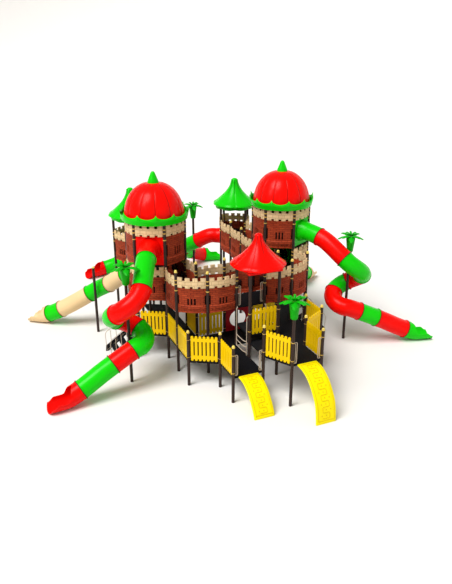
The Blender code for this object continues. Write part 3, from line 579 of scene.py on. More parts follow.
for side, levels in (("left", (WALKWAY, TOP_DECK)), ("right", (WALKWAY, TOP_DECK, LOW))):
    hexagon = " ".join(f"{side}{i}" for i in range(6))
    FRAMES[f"{side}_tower_frame"] = ([(hexagon, level) for level in levels], [(hexagon, TOWER_POST_TOP, 0)])
    strip = f"{side}1 {upper_posts(side, (1, 2, 3, 7, 6, 5, 4))} {side}2"
    low, high = upper_posts(side, (1, 2, 4)), upper_posts(side, (3, 5, 6, 7))
    posts = [(low, WALKWAY_POST_TOP, 0), (high, CONE_POST_TOP, 0)]
    FRAMES[f"{side}_bridge_frame"] = ([(strip, WALKWAY)], posts)


def deck_plate(name, outline, top):
    """A deck tray: a plate with a rolled rim."""
    bm = bmesh.new()
    corners = [world(AT[post], top - DECK_THICK) for post in outline.split()]
    bm.faces.new([bm.verts.new(corner) for corner in corners])
    made = bmesh.ops.extrude_face_region(bm, geom=bm.faces[:])
    lifted = [item for item in made["geom"] if isinstance(item, bmesh.types.BMVert)]
    bmesh.ops.translate(bm, vec=up(DECK_THICK), verts=lifted)
    bmesh.ops.recalc_face_normals(bm, faces=bm.faces)
    return bevel_edges(add(name, bm), 0.006, 30)


def add_ball(bm, centre, z):
    """Adds a round cap with a collar to the post that ends here."""
    collar = POST_RADIUS + 0.003
    turns = [pi / 2 * (k / 5.2 - 0.45) for k in range(8)]
    ball = arc(0, z + 0.03, BALL_RADIUS, 0.045, turns)
    add_turned(bm, centre, [(0, z - 0.02), (collar, z - 0.02), (collar, z), *ball, (0, z + 0.075)], 20)


def build_frames():
    for name, (decks, posts) in FRAMES.items():
        for i, (outline, top) in enumerate(decks):
            deck = deck_plate(f"{name}_deck_{i}", outline, top)
            piece(deck, "black_metal", *([name] if i == 0 else []), smooth=False)
        bars, balls = bmesh.new(), bmesh.new()
        for names, top, foot in posts:
            balled = top in BALL_TOPS
            end = top - 0.06 if balled else top
            profile = [(0, foot), (POST_RADIUS, foot), (POST_RADIUS, foot + 0.01)]
            profile += [(POST_RADIUS, end - 0.004), (POST_RADIUS - 0.004, end), (0, end)]
            for post in names.split():
                add_turned(bars, world(AT[post]), profile, 24)
                if balled:
                    add_ball(balls, world(AT[post]), end)
        piece(add(f"{name}_posts", bars), "dark_posts")
        if len(balls.verts):
            piece(add(f"{name}_caps", balls), "cap_yellow")


# Walls


def panel_span(start, end, side):
    """A panel's first corner, its width and direction, and the way it bulges."""
    first, last = (post + towards * PANEL_INSET for post, towards in both_ends(start, end))
    _, _, along, outward = between(start, end)
    return first, (last - first).length, along, outward * side


def bulge(share):
    """How far a panel stands out along its width."""
    return BULGE * (sin(pi * share) ** 0.75 * 0.98 if 0 < share < 1 else 0.0)


def finer(edges, most):
    """These column edges, with more between them so that no column is wider than most."""
    result = [edges[0]]
    for a, b in zip(edges, edges[1:]):
        parts = max(1, ceil((b - a) / most - 0.001))
        result += [a + (b - a) * k / parts for k in range(1, parts + 1)]
    return result


def pattern_shift(name):
    """A number from 0 to 1 that lays the courses differently on each panel."""
    return sum(ord(letter) * (k + 3) for k, letter in enumerate(name)) % 17 / 17


def brick_panel(bm, shade_backs, start, end, side, base, height):
    """Adds a curved panel of courses with three slits, side notches and a ledge that stands out.

    The dark sheets behind the slits and notches are painted shade, standing for the shadow seen through
    these openings; they go to the second mesh given.
    """
    first, width, along, outward = panel_span(start, end, side)
    slits = [width / 2 + SLIT_STEP * k for k in (-1, 0, 1)]
    edges = [0.0, NOTCH, width - NOTCH, width, width / 2 - SEAM, width / 2, width / 2 + SEAM]
    edges += [slit + half for slit in slits for half in (-SLIT / 2, SLIT / 2)]
    xs = finer(sorted(edges), 0.075)
    low, high, notch_top = height * WINDOW_LOW, height * WINDOW_HIGH, height * NOTCH_HIGH
    zs = [0.035, 0.0, 0.105, LEDGE[0], LEDGE[1] - 0.02, LEDGE[1], low, high, notch_top]
    zs += [height - 0.05, height - 0.035, height]

    def keep(i, j):
        x, z = (xs[i] + xs[i + 1]) / 2, (zs[j] + zs[j + 1]) / 2
        if low < z < high and any(abs(x - slit) < SLIT / 2 for slit in slits):
            return False
        return not (low < z < notch_top and min(x, width - x) < NOTCH)

    def surface(x, z, extra):
        return first + along * x + outward * (bulge(x / width) + extra) + up(base + z)

    def place(i, j):
        x, z = xs[i], zs[j]
        if j == 0:
            return first + along * x - outward * 0.012 + up(base + z)
        fade = min(1, x / 0.03, (width - x) / 0.03)
        extra = LEDGE_OUT * fade if j in (3, 4) else 0.0
        if j == 3:
            z += 0.014 * cos(tau * x / 0.17)
        if j >= 7 and abs(x - width / 2) < 0.001:
            extra -= 0.012
        return surface(x, z, extra + (0.008 * fade if j >= 10 else 0.0))

    def uv(i, j):
        return (xs[i] + pattern_shift(start) * 0.37, zs[j])

    bent_grid(len(xs) - 1, len(zs) - 1, place, keep, uv=uv, bm=bm)
    # Dark sheets set back behind the notches and slits: painted shade for the shadow seen through them
    over = NOTCH + 0.03
    spans = ((0.0, over, notch_top), (slits[0] - 0.06, slits[2] + 0.06, high))
    for left, right, top in (*spans, (width - over, width, notch_top)):
        cells, rows = finer([left, right], 0.06), (low - 0.03, top + 0.03)
        bent_grid(len(cells) - 1, 1, lambda i, j: surface(cells[i], rows[j], -0.034), bm=shade_backs)


def cream_panel(bm, start, end, side, base, height):
    """Adds a curved band with merlons along its top and square notches along its foot."""
    first, width, along, outward = panel_span(start, end, side)
    total = sum(MERLON_BLOCKS)
    edges = [width * sum(MERLON_BLOCKS[:k]) / total for k in range(len(MERLON_BLOCKS) + 1)]
    xs = finer(edges, 0.062)
    zs = [0.0, 0.072, 0.15, height - MERLON - 0.03, height - MERLON, height]

    def keep(i, j):
        x = (xs[i] + xs[i + 1]) / 2
        block = sum(x > edge for edge in edges) - 1
        return block % 2 == 0 or j not in (0, len(zs) - 2)

    def place(i, j):
        push = bulge(xs[i] / width) + (0.012 if j in (1, 2, 3) else 0.008)
        return first + along * xs[i] + outward * push + up(base + zs[j])

    def uv(i, j):
        return (xs[i] + pattern_shift(end) * 0.41, zs[j])

    bent_grid(len(xs) - 1, len(zs) - 1, place, keep, uv=uv, bm=bm)


def wall_run(name, posts, base, height, side, brick, closed=False):
    """The panels between these posts, the dark sheets of painted shade behind their slits, and their clamps.
    """
    edges = list(zip(posts, posts[1:]))
    if closed:
        edges.append((posts[-1], posts[0]))
    panels, shade_backs, clamps = bmesh.new(), bmesh.new(), bmesh.new()
    for start, end in edges:
        if brick:
            brick_panel(panels, shade_backs, start, end, side, base, height)
        else:
            cream_panel(panels, start, end, side, base, height)
    thick, paint = (BRICK_THICK, "brick_red_plastic") if brick else (CREAM_THICK, "cream_plastic")
    shell(f"{name}_panels", panels, thick, paint, name, bevel=0.006, sharp=35)
    if brick:
        # The sheets behind the slits and notches, in a dark colour that is painted shade
        shell(f"{name}_window_shade_backs", shade_backs, 0.008, "window_painted_shade", sharp=35)
    marks = (height - 0.13,) if brick else (0.125, 0.27)
    for post in dict.fromkeys(posts):
        for mark in marks:
            add_band(clamps, world(AT[post]), base + mark, 0.017, POST_RADIUS + 0.012, 0.004)
    for start, end in edges:
        for mark in marks:
            for post, towards in both_ends(start, end):
                centre = post + towards * (POST_RADIUS + 0.02) + up(base + mark)
                box_into(clamps, centre, towards, up(1), (0.05, 0.026, 0.014))
    piece(add(f"{name}_clamps", clamps), "gold_clamp")


def build_walls():
    left_front = "left3 left4 left5 walk1 walk2 walk3".split()
    right_front = "walk4 walk5 walk6 right5 right4 right3".split()
    left_back = f"{upper_posts('left', (7, 6, 5, 4))} left2".split()
    right_back = f"right2 {upper_posts('right', (4, 5, 6, 7))}".split()
    court = upper_posts("left", (3, 2, 1)) + " left1 left0 inner1 inner2 inner3 inner4 right0 right1 "
    court = (court + upper_posts("right", (1, 2, 3))).split()
    bricks = {"left_front": left_front, "right_front": right_front, "left_back": left_back}
    bricks |= {"right_back": right_back, "courtyard": court}
    for name, posts in bricks.items():
        side = -1 if posts is court else 1
        wall_run(f"{name}_brick_wall", posts, WALKWAY, BRICK_HEIGHT, side, True)
    creams = {"left": ["left_bridge3", *left_back, *left_front]}
    creams |= {"right": [*right_front, *right_back, "right_bridge3"], "courtyard": court}
    for name, posts in creams.items():
        side = -1 if posts is court else 1
        wall_run(f"{name}_battlement", posts, WALKWAY + BRICK_HEIGHT, BATTLEMENT_HEIGHT, side, False)
    top = TOP_DECK + TOWER_BRICK_HEIGHT
    rim = TOWER_POST_TOP - top - 0.005
    for side, order in (("left", (5, 0, 1, 2, 3, 4)), ("right", (4, 3, 2, 1, 0, 5))):
        posts = [f"{side}{i}" for i in order]
        wall_run(f"{side}_tower_brick_wall", posts, TOP_DECK, TOWER_BRICK_HEIGHT, 1, True)
        wall_run(f"{side}_tower_battlement", posts, top, rim, 1, False, closed=True)


# Roofs


def plain_shape(share, j, radius, z):
    return radius, z


def round_sheet(name, centre, sides, profile, shape, thick, paint, *nodes, sharp=40):
    """A shell about a vertical line. shape(share of a turn, j, *profile[j]) gives radius and height."""

    def place(i, j):
        share = i / sides % 1
        return about(centre, share, *shape(share, j, *profile[j]))

    bm = bent_grid(sides, len(profile) - 1, place, weld=0.0004)
    return shell(name, bm, thick, paint, *nodes, sharp=sharp, outward=True)


def groove(phase, width):
    """1 in the middle of the groove between two folds, falling to 0 at this share of a fold."""
    return max(0.0, 1 - min(phase, 1 - phase) / width)


def crease_shade_lines(name, centre, shares, profile, shape, paint):
    """Thin darker lines up the folds of a roof, at these shares of a turn; their darker colour is painted
    shade in the grooves between the folds.
    """
    paths = []
    for share in shares:
        spots = [shape(share % 1, j, *profile[j]) for j in range(2, len(profile) - 2)]
        paths.append([about(centre, share, reach + 0.012, rise) for reach, rise in spots])
    rods(name, paths, CREASE_SHADE_RADIUS, paint, sides=1)


def crown(side, base):
    """A ring of leaves that point up round the dome, with a rolled bead under it."""
    profile = ((1.03, 0.012), (1.21, 0.012), (1.255, 0.03), (1.275, 0.10), (1.29, 0.17), (1.31, 0.265))

    def leaves(share, j, radius, z):
        phase = (share * LEAVES + 0.5) % 1
        tip = 1 - sqrt(max(0.0, 1 - (2 * phase - 1) ** 2)) if j == 5 else 0.0
        return radius + 0.035 * tip, z + 0.165 * tip

    green = "green_plastic"
    round_sheet(f"{side}_leaf_crown", base, LEAVES * 14, profile, leaves, ROOF_THICK, green, f"{side}_crown")
    bead = [(1.20, 0.004), (1.245, 0.004), (1.262, 0.02), (1.258, 0.045), (1.235, 0.05)]
    round_sheet(f"{side}_crown_bead", base, 96, bead, plain_shape, 0.008, green)


def dome(side, base):
    """A ribbed dome with a finial."""
    turns = [pi / 2 * k / DOME_ROWS for k in range(1, DOME_ROWS)]
    profile = [(0.98, 0.033), (1.13, 0.033)]
    profile += [(0.10 + 1.045 * cos(turn) ** 0.92, 0.06 + 1.30 * sin(turn)) for turn in turns]
    profile.append((0.05, 1.365))

    def ribs(share, j, radius, z):
        phase = (share * LEAVES + 0.5) % 1
        lobe = sin(pi * phase) ** 0.7
        fade = min(1, radius / 0.4) if j else 0
        return radius * (1 + (0.014 * lobe - 0.020 * groove(phase, 0.05)) * fade), z

    name = f"{side}_dome"
    round_sheet(f"{name}_shell", base, LEAVES * 20, profile, ribs, ROOF_THICK, "red_plastic", name, sharp=50)
    # Dark rods in the grooves between the ribs: painted shade
    shaded_creases = [(k + 0.5) / LEAVES for k in range(LEAVES)]
    crease_shade_lines(f"{name}_seams", base, shaded_creases, profile, ribs, "seam_red")
    tip = [(0, 1.345), (0.19, 1.345), (0.216, 1.362), (0.212, 1.40), (0.178, 1.49), (0.138, 1.59)]
    tip += [(0.105, 1.67), (0.088, 1.72), (0.066, 1.76), (0.036, 1.782), (0, 1.79)]
    turned(f"{side}_finial", base, [(radius, base.z + z) for radius, z in tip], 32, "green_plastic")


def pointed_roof(name, corners, post_top, height, colour, angle):
    """A folded cone over four posts. Its first fold starts at this angle."""
    base = world(sum((AT[corner] for corner in corners), Vector((0, 0))) / 4, post_top)
    profile = [(0.70, 0.011), (0.975, 0.011), (0.995, 0.03), (0.985, 0.07)]
    for k in range(1, 15):
        t = k / 15
        profile.append((0.965 * (1 - t) ** 1.55 + 0.145 * t, 0.07 + (height - 0.07) * t))
    profile += [(0.132, height + 0.035), (0.085, height + 0.078), (0.0, height + 0.10)]
    paint = f"{colour}_plastic"

    def folds(share, j, radius, z):
        if j < 2 or j > len(profile) - 3:
            return radius, z
        phase = (share - angle / 360) * FOLDS % 1
        crease = sin(pi * phase) ** 0.6 - 0.8 * groove(phase, 0.035)
        return radius * (1 + (0.045 * crease - 0.03) * min(1, radius / 0.5)), z

    round_sheet(f"{name}_shell", base, FOLDS * 16, profile, folds, 0.018, paint, name, sharp=50)
    # Dark rods in the grooves between the folds: painted shade
    shaded_creases = [angle / 360 + k / FOLDS for k in range(FOLDS)]
    crease_shade_lines(f"{name}_seams", base, shaded_creases, profile, folds, f"seam_{colour}")
    if colour == "green":
        lobed_skirt(f"{name}_skirt", base, angle, paint)
    else:
        square_skirt(f"{name}_skirt", base, angle, paint)


def lobed_skirt(name, base, angle, paint):
    skirt = ((0.90, 0.014), (0.905, -0.02), (0.90, -0.07), (0.89, -0.10))

    def lobes(share, j, radius, z):
        phase = (share - angle / 360) * FOLDS % 1
        return radius, z - (0.05 * sin(pi * phase) ** 0.7 if j == 3 else 0.0)

    round_sheet(name, base, FOLDS * 10, skirt, lobes, ROOF_THICK, paint)


def square_skirt(name, base, angle, paint):
    half = MODULE / 2 + 0.078
    turn = heading(angle)
    across = Vector((-turn.y, turn.x))
    signs = ((1, 1), (-1, 1), (-1, -1), (1, -1), (1, 1))
    corners = [turn * x * half + across * y * half for x, y in signs]
    heights = (0.012, -0.10, -0.14)

    def place(i, j):
        return (base.x + corners[i].x, base.y + corners[i].y, base.z + heights[j])

    shell(name, bent_grid(4, 2, place, weld=0.001), ROOF_THICK, paint, bevel=0.004)


def build_roofs():
    for side, centre in (("left", LEFT_TOWER), ("right", RIGHT_TOWER)):
        base = world(centre, TOWER_POST_TOP + 0.0003)
        crown(side, base)
        dome(side, base)
    pointed_roof("centre_roof", CENTRE_POSTS.split(), ROOF_POST_TOP, 1.06, "red", 30)
    for side in ("left", "right"):
        corners = upper_posts(side, (3, 5, 6, 7)).split()
        pointed_roof(f"{side}_cone_roof", corners, CONE_POST_TOP, 1.12, "green", 7.5)


# Slides


def spline_through(knots, spacing):
    """Points at about this spacing along a smooth curve through the knots."""
    ends = [knots[0] * 2 - knots[1], *knots, knots[-1] * 2 - knots[-2]]
    fine = []
    for a, b, c, d in zip(ends, ends[1:], ends[2:], ends[3:]):
        for k in range(12):
            t = k / 12
            curve = b * 2 + (c - a) * t + (a * 2 - b * 5 + c * 4 - d) * t**2
            fine.append((curve + (b * 3 - a - c * 3 + d) * t**3) / 2)
    fine.append(knots[-1])
    lengths = [0.0]
    for a, b in zip(fine, fine[1:]):
        lengths.append(lengths[-1] + (b - a).length)
    count = max(2, round(lengths[-1] / spacing))
    points = []
    for k in range(count + 1):
        goal = lengths[-1] * k / count
        i = next(i for i in range(1, len(fine)) if lengths[i] >= goal - 1e-9)
        share = (goal - lengths[i - 1]) / (lengths[i] - lengths[i - 1])
        points.append(fine[i - 1].lerp(fine[i], share))
    return points


def smooth_step(value):
    value = max(0.0, min(1.0, value))
    return value * value * (3 - 2 * value)


def tube_axes(points, across):
    """The ways to the side, up and ahead at each point of a slide that starts off across an edge."""
    last = len(points) - 1
    axes = []
    for j, point in enumerate(points):
        along = points[min(j + 1, last)] - points[j - 1] if j else across.copy()
        if point.z < TUBE_RADIUS + 0.02:
            along.z = 0
        sideways = along.cross(up(1)).normalized()
        upward = sideways.cross(along).normalized()
        axes.append((sideways, upward, upward.cross(sideways)))
    return axes


def on_tube(point, axes, turn, radius, shift, lowest):
    """A point on a ring of the tube, which is shifted ahead and kept above the floor."""
    sideways, upward, ahead = axes
    spot = point + ahead * shift + (sideways * cos(turn) + upward * sin(turn)) * radius
    spot.z = max(spot.z, lowest)
    return spot


def section_rings(low, high, flare):
    """Each ring's point, radius and shift, for a section with a lip at its joints."""
    rings = []
    for j in range(low, high + 1):
        spread = flare * max(0.0, 1 - j / FLARE_RINGS) ** 1.6
        rings.append((j, TUBE_RADIUS - TUBE_WALL / 2 - 0.002 + spread, 0.0))
    lip, step_back = TUBE_RADIUS + LIP, LIP_WIDTH + 0.002
    if low:
        rings[:1] = [(low, lip, 0.001), (low, lip, LIP_WIDTH), (low, rings[0][1], step_back)]
    rings[-1:] = [(high, rings[-1][1], -step_back), (high, lip, -LIP_WIDTH), (high, lip, -0.001)]
    return rings


def slide(name, knots, deck, posts, colours, joints):
    """Tube sections in turn colours, with a dark ring of painted shade at each joint and an open tray at the
    end.
    """
    points = spline_through(knots, RING_STEP)
    for point in points:
        point.z = max(point.z, TUBE_RADIUS)
    across = between(*posts)[3]
    axes = tube_axes(points, across if across.dot(points[3] - points[0]) > 0 else -across)
    marks = [0, *[round((len(points) - 1) * joint) for joint in joints]]
    flare = TOWER_FLARE if deck == TOP_DECK else WALKWAY_FLARE
    for k, (low, high) in enumerate(zip(marks, marks[1:])):
        rings = section_rings(low, high, flare)

        def wall(i, j):
            ring, radius, shift = rings[j]
            return on_tube(points[ring], axes[ring], tau * i / TUBE_SIDES, radius, shift, 0.0065)

        bm = bent_grid(TUBE_SIDES, len(rings) - 1, wall, weld=0.0004)
        nodes = [name] if k == 0 else []
        shell(f"{name}_section_{k + 1}", bm, TUBE_WALL, colours[k], *nodes, outward=True)
    # A dark ring at each joint: painted shade in the gap between the section lips
    joint_shade_rings = bmesh.new()
    for ring in marks[1:]:

        def joint_shade_ring(i, j):
            turn = tau * j / TUBE_SIDES
            radius, shift = JOINT_SHADE_RADII[i in (1, 2)], JOINT_SHADE_HALF if i in (2, 3) else -JOINT_SHADE_HALF
            return on_tube(points[ring], axes[ring], turn, radius, shift, 0.002)

        bent_grid(4, TUBE_SIDES, joint_shade_ring, weld=0.0004, bm=joint_shade_rings)
    bmesh.ops.recalc_face_normals(joint_shade_rings, faces=joint_shade_rings.faces)
    piece(add(f"{name}_seals", joint_shade_rings), "joint_painted_shade")
    exit_tray(name, points, axes, marks[-1], colours[-1])
    entry_panel(name, points[0], posts, deck, colours[0])


def exit_tray(name, points, axes, first, paint):
    """The last section: a tube whose top falls away to an open tray."""
    count = len(points) - 1 - first

    def place(i, j):
        open_share = smooth_step((j / count - 0.12) / 0.36)
        end_share = smooth_step((j / count - 0.72) / 0.28)
        half = pi * (1 - open_share * 0.49 - 0.13 * end_share)
        turn = -pi / 2 + half * (2 * i / TUBE_SIDES - 1)
        radius = TUBE_RADIUS + (-0.008 if j else LIP - 0.007)
        shift = 0.13 * end_share * (-sin(turn) - 1)
        return on_tube(points[first + j], axes[first + j], turn, radius, shift, 0.0085)

    bm = bent_grid(TUBE_SIDES, count, place)
    shell(f"{name}_exit", bm, 0.016, paint, bevel=0.005, sharp=50, outward=True)


def entry_panel(name, point, posts, deck, paint):
    """The moulded panel round the slide's mouth."""
    _, half, along, _ = between(*posts)
    half -= POST_RADIUS + 0.002
    wall, wider = (TOWER_BRICK_HEIGHT, 0.07) if deck == TOP_DECK else (BRICK_HEIGHT, 0.0)
    low, high = deck + 0.001 - point.z, deck + wall - 0.002 - point.z
    turns = [pi / 2 * k / 6 for k in range(7)]
    outline = [(-half, low), (half, low), *arc(half - 0.09, high - 0.09, 0.09, 0.09, turns)]
    outline += arc(-half + 0.09, high - 0.09, 0.09, 0.09, [pi / 2 + turn for turn in turns])
    hole = [((TUBE_RADIUS + wider) * x, (TUBE_RADIUS + wider) * y) for x, y in circle(40)]
    piece(upright_plate(f"{name}_entry_panel", [outline, hole], 0.028, point, along), paint)


def way_out(posts, target):
    """The middle between two posts, and the way across their line that leads to the target."""
    start = (AT[posts[0]] + AT[posts[1]]) / 2
    edge = (AT[posts[1]] - AT[posts[0]]).normalized()
    out = Vector((edge.y, -edge.x))
    return start, out if out.dot(target - start) > 0 else -out


def spiral_knots(posts, centre, first, last, tip):
    """Knots from a tower's edge, round a palm between two headings, and on to the tip."""
    radius = SPIRAL_RADIUS / MODULE
    entry = step(centre, first, radius)
    start, out = way_out(posts, entry)
    knots = [world(start, SPIRAL_ENTRY), world(start + out * 0.22, SPIRAL_ENTRY)]
    knots.append(world(start.lerp(entry, 0.55) + out * 0.02, SPIRAL_ENTRY - 0.2))
    count = round(abs(last - first) / 30)
    for k in range(count + 1):
        drop = (SPIRAL_TOP - SPIRAL_FOOT) * (1 - k / count) ** 1.45
        knots.append(world(step(centre, first + (last - first) * (k / count), radius), SPIRAL_FOOT + drop))
    leave = step(centre, last, radius)
    for share, height in ((0.35, 1.06), (0.62, 0.58), (0.80, TUBE_RADIUS), (1, TUBE_RADIUS)):
        knots.append(world(leave.lerp(Vector(tip), share), height))
    return knots


def build_slides():
    red, green, cream = "red_plastic", "green_plastic", "cream_tube"
    # Side, the palm it winds round, first and last heading, tip, colours and joints
    spirals = (
        ("left", LEFT_PALM, 4, -417, (-4.37, -2.96), (red, green), LEFT_SPIRAL_JOINTS),
        ("right", RIGHT_PALM, 237, 648, (7.76, 3.54), (green, red), RIGHT_SPIRAL_JOINTS),
    )
    for side, centre, first, last, tip, pair, joints in spirals:
        edge = (f"{side}4", f"{side}5")
        knots = spiral_knots(edge, centre, first, last, tip)
        slide(f"{side}_spiral_slide", knots, TOP_DECK, edge, pair * 4 + pair[:1], joints)
    side_knots = [(-3.4, 2.56, 2.75), (-4.0, 2.89, 2.2), (-4.65, 3.10, 1.75), (-5.4, 3.12, 1.2)]
    side_knots += [(-6.08, 3.09, 0.76), (-6.7, 3.2, 0.42), (-7.1, 3.26, 0.36), (-7.5, 3.32, 0.36)]
    back_knots = [(-1.0, 7.20, 2.88), (-1.65, 7.42, 2.45), (-2.2, 7.9, 2.0), (-2.45, 8.65, 1.6)]
    back_knots += [(-2.55, 9.5, 1.2), (-2.35, 10.3, 0.8), (-1.95, 10.95, 0.44), (-1.5, 11.2, 0.36)]
    back_knots += [(-0.95, 11.35, 0.36)]
    left_end, right_end = ("left_bridge3", "left_bridge7"), ("right_bridge3", "right_bridge7")
    # Name, posts, knots, whether they are mirrored, colours and joints
    runs = (
        ("left_side_slide", ("left2", "left3"), side_knots, False, (green, cream), SIDE_JOINTS),
        ("right_side_slide", ("right2", "right3"), side_knots, True, (green, cream), SIDE_JOINTS),
        ("right_back_slide", right_end, back_knots, False, (red, green), BACK_JOINTS),
        ("left_back_slide", left_end, back_knots, True, (green, red), BACK_JOINTS),
    )
    entry_z = WALKWAY + TUBE_RADIUS + 0.02
    for name, posts, knots, flip, pair, joints in runs:
        plan = [mirrored(Vector(knot[:2])) if flip else Vector(knot[:2]) for knot in knots]
        start, out = way_out(posts, plan[0])
        path = [world(start, entry_z), world(start + out * 0.2, entry_z)]
        path += [world(point, knot[2]) for point, knot in zip(plan, knots)]
        slide(name, path, WALKWAY, posts, pair * 3, joints)


# Fences, crawl panel, climbers and stairs


def fence(name, start, end, deck):
    """A moulded panel of round-ended pickets on two rails, with its brackets and bands."""
    middle, half, along, _ = between(start, end)
    half -= POST_RADIUS + 0.035
    width = (2 * half - (PICKETS - 1) * PICKET_GAP) / PICKETS
    low, rail_low, rail_high, top = 0.10, 0.24, FENCE_HEIGHT - 0.22, FENCE_HEIGHT - 0.10
    foot, tip = 0.025, FENCE_HEIGHT - 0.002
    lefts = [-half + k * (width + PICKET_GAP) for k in range(PICKETS)]
    upper, lower = [], []
    for left in lefts:
        turns = [pi * (1 - k / 6) for k in range(7)]
        head = arc(left + width / 2, tip - width * 0.42, width / 2, width * 0.42, turns)
        upper += [(left, top), *head, (left + width, top)]
    for left in reversed(lefts):
        turns = [-pi * k / 4 for k in range(5)]
        heel = arc(left + width / 2, foot + width * 0.3, width / 2, width * 0.3, turns)
        lower += [(left + width, low), *heel, (left, low)]
    loops = [upper[1:-1] + lower[1:-1]]
    for left in lefts[:-1]:
        near, far = left + width, left + width + PICKET_GAP
        loops.append([(near, rail_low), (far, rail_low), (far, rail_high), (near, rail_high)])
    panel = upright_plate(f"{name}_panel", loops, 0.034, middle + up(deck), along, 0.005)
    piece(panel, "yellow_plastic", name, sharp=50)
    bands, paths = bmesh.new(), []
    for post, towards in both_ends(start, end):
        for z in (deck + (low + rail_low) / 2, deck + (rail_high + top) / 2):
            ends = (POST_RADIUS - 0.01, POST_RADIUS + 0.09)
            paths.append([post + towards * reach + up(z) for reach in ends])
            add_band(bands, post, z, 0.012, POST_RADIUS + 0.006)
    rods(f"{name}_brackets", paths, 0.011, "light_metal")
    piece(add(f"{name}_bands", bands), "gold_clamp")


def build_fences():
    low = "left4 left5, left5 walk1, walk1 front1, front1 front2, front2 front3, "
    low += "left0 inner1, inner1 inner2, inner3 inner4"
    entry = "front4 entry1, entry2 entry3, entry3 entry4, entry4 entry5"
    for name, edges, deck in (("low", low, LOW), ("entry", entry, ENTRY)):
        for i, edge in enumerate(edges.split(","), start=1):
            fence(f"{name}_deck_fence_{i}", *edge.split(), deck)
    fence("centre_deck_fence", "centre1", "centre2", CENTRE_DECK)


def hole_panel():
    """The flat panel with a round hole to crawl through."""
    middle, half, along, _ = between("inner2", "inner3")
    half -= POST_RADIUS + 0.003
    outline = [(-half, -0.498), (half, -0.498), (half, 0.499), (-half, 0.499)]
    hole = [(HOLE_RADIUS * x, HOLE_RADIUS * y) for x, y in circle(48)]
    place = middle + up(LOW + 0.5003)
    panel = upright_plate("crawl_hole_panel", [outline, hole], 0.028, place, along)
    piece(panel, "dark_red_plastic", "round_hole_panel")


def climber(name, start, end, profile):
    """An arched board with turned-down sides, a thin rim, and a winding ridge with studs."""
    middle, _, along, out = between(start, end)
    curve = spline_through([Vector((reach, z, 0)) for reach, z in profile], BOARD_STEP)
    rows = len(curve) - 1
    across = [-0.38, -0.372, -0.35, -0.2, 0, 0.2, 0.35, 0.372, 0.38]
    drop = [0.035, 0.008, 0, 0, 0, 0, 0, 0.008, 0.035]

    def place(i, j):
        ahead = (curve[min(j + 1, rows)] - curve[max(j - 1, 0)]).normalized()
        spot = curve[j] - Vector((-ahead.y, ahead.x, 0)) * drop[i]
        return middle + along * across[i] + out * max(spot.x, 0.002) + up(max(spot.y, 0.006))

    paint, bm = "bright_yellow_plastic", bent_grid(8, rows, place)
    shell(f"{name}_board", bm, 0.014, paint, name, bevel=0.003, sharp=60, outward=True)

    def on_board(side, ahead, lift):
        """A point this far along the board and to the side, this high above its face."""
        j = max(1, min(rows - 1, round(ahead / BOARD_STEP)))
        way = (curve[j + 1] - curve[j - 1]).normalized()
        spot = curve[j] + way * (ahead - j * BOARD_STEP) + Vector((-way.y, way.x, 0)) * lift
        return middle + along * side + out * max(spot.x, 0.02) + up(max(spot.y, 0.02))

    length = rows * BOARD_STEP
    count = round(length / 0.21)
    winding, studs = [], []
    for k in range(count):
        ahead = length * (k + 1) / (count + 1)
        side = 0.13 if k % 2 else -0.13
        winding += [on_board(-side, ahead, 0.012), on_board(side, ahead, 0.012)]
        if k < count - 1:
            for x in (side * -1.3, 0.0):
                studs.append([on_board(x, ahead + 0.10, lift) for lift in (0.0, 0.02)])
    rims = (-0.31, 0.31)
    ridges = [rounded(winding, 0.05, 4)]
    ridges += [[on_board(side, length * k / 40, 0.010) for k in range(2, 39)] for side in rims]
    ridges += [[on_board(side, ahead, 0.010) for side in rims] for ahead in (0.10, length - 0.12)]
    rods(f"{name}_ridges", ridges, 0.0105, "ridge_yellow", sides=1)
    rods(f"{name}_studs", studs, 0.021, "ridge_yellow", sides=2)


def hoops(name, start, end, deck, *nodes):
    """Two hoops, one in the other, on the inner side of each post."""
    paths = []
    for post, towards in both_ends(start, end):
        for reach, height in ((0.105, 0.80), (0.165, 0.84)):
            foot, top = up(deck + 0.06), up(deck + height)
            root, far = post + towards * (POST_RADIUS - 0.01), post + towards * reach
            paths.append(rounded([root + foot, far + foot, far + top, root + top], 0.05))
    rods(f"{name}_rails", paths, 0.013, "light_metal", *nodes)


def build_climbers():
    low = ((0.0012, 0.985), (0.32, 0.965), (0.62, 0.86), (0.90, 0.66), (1.12, 0.40), (1.28, 0.16))
    high = [(reach, z + ENTRY - LOW) for reach, z in low]
    climber("left_climber", "front3", "front4", (*low, (1.34, 0.008)))
    climber("right_climber", "entry1", "entry2", [*high, (1.36, 0.50), (1.40, 0.25), (1.43, 0.006)])
    hoops("left_climber_hoops", "front3", "front4", LOW, "left_climber_hoops")
    hoops("right_climber_hoops", "entry1", "entry2", ENTRY, "right_climber_hoops")
    hoops("walkway_hoops", "walk3", "walk4", WALKWAY)
    hoops("centre_deck_hoops", "centre2", "walk4", CENTRE_DECK - 0.2)


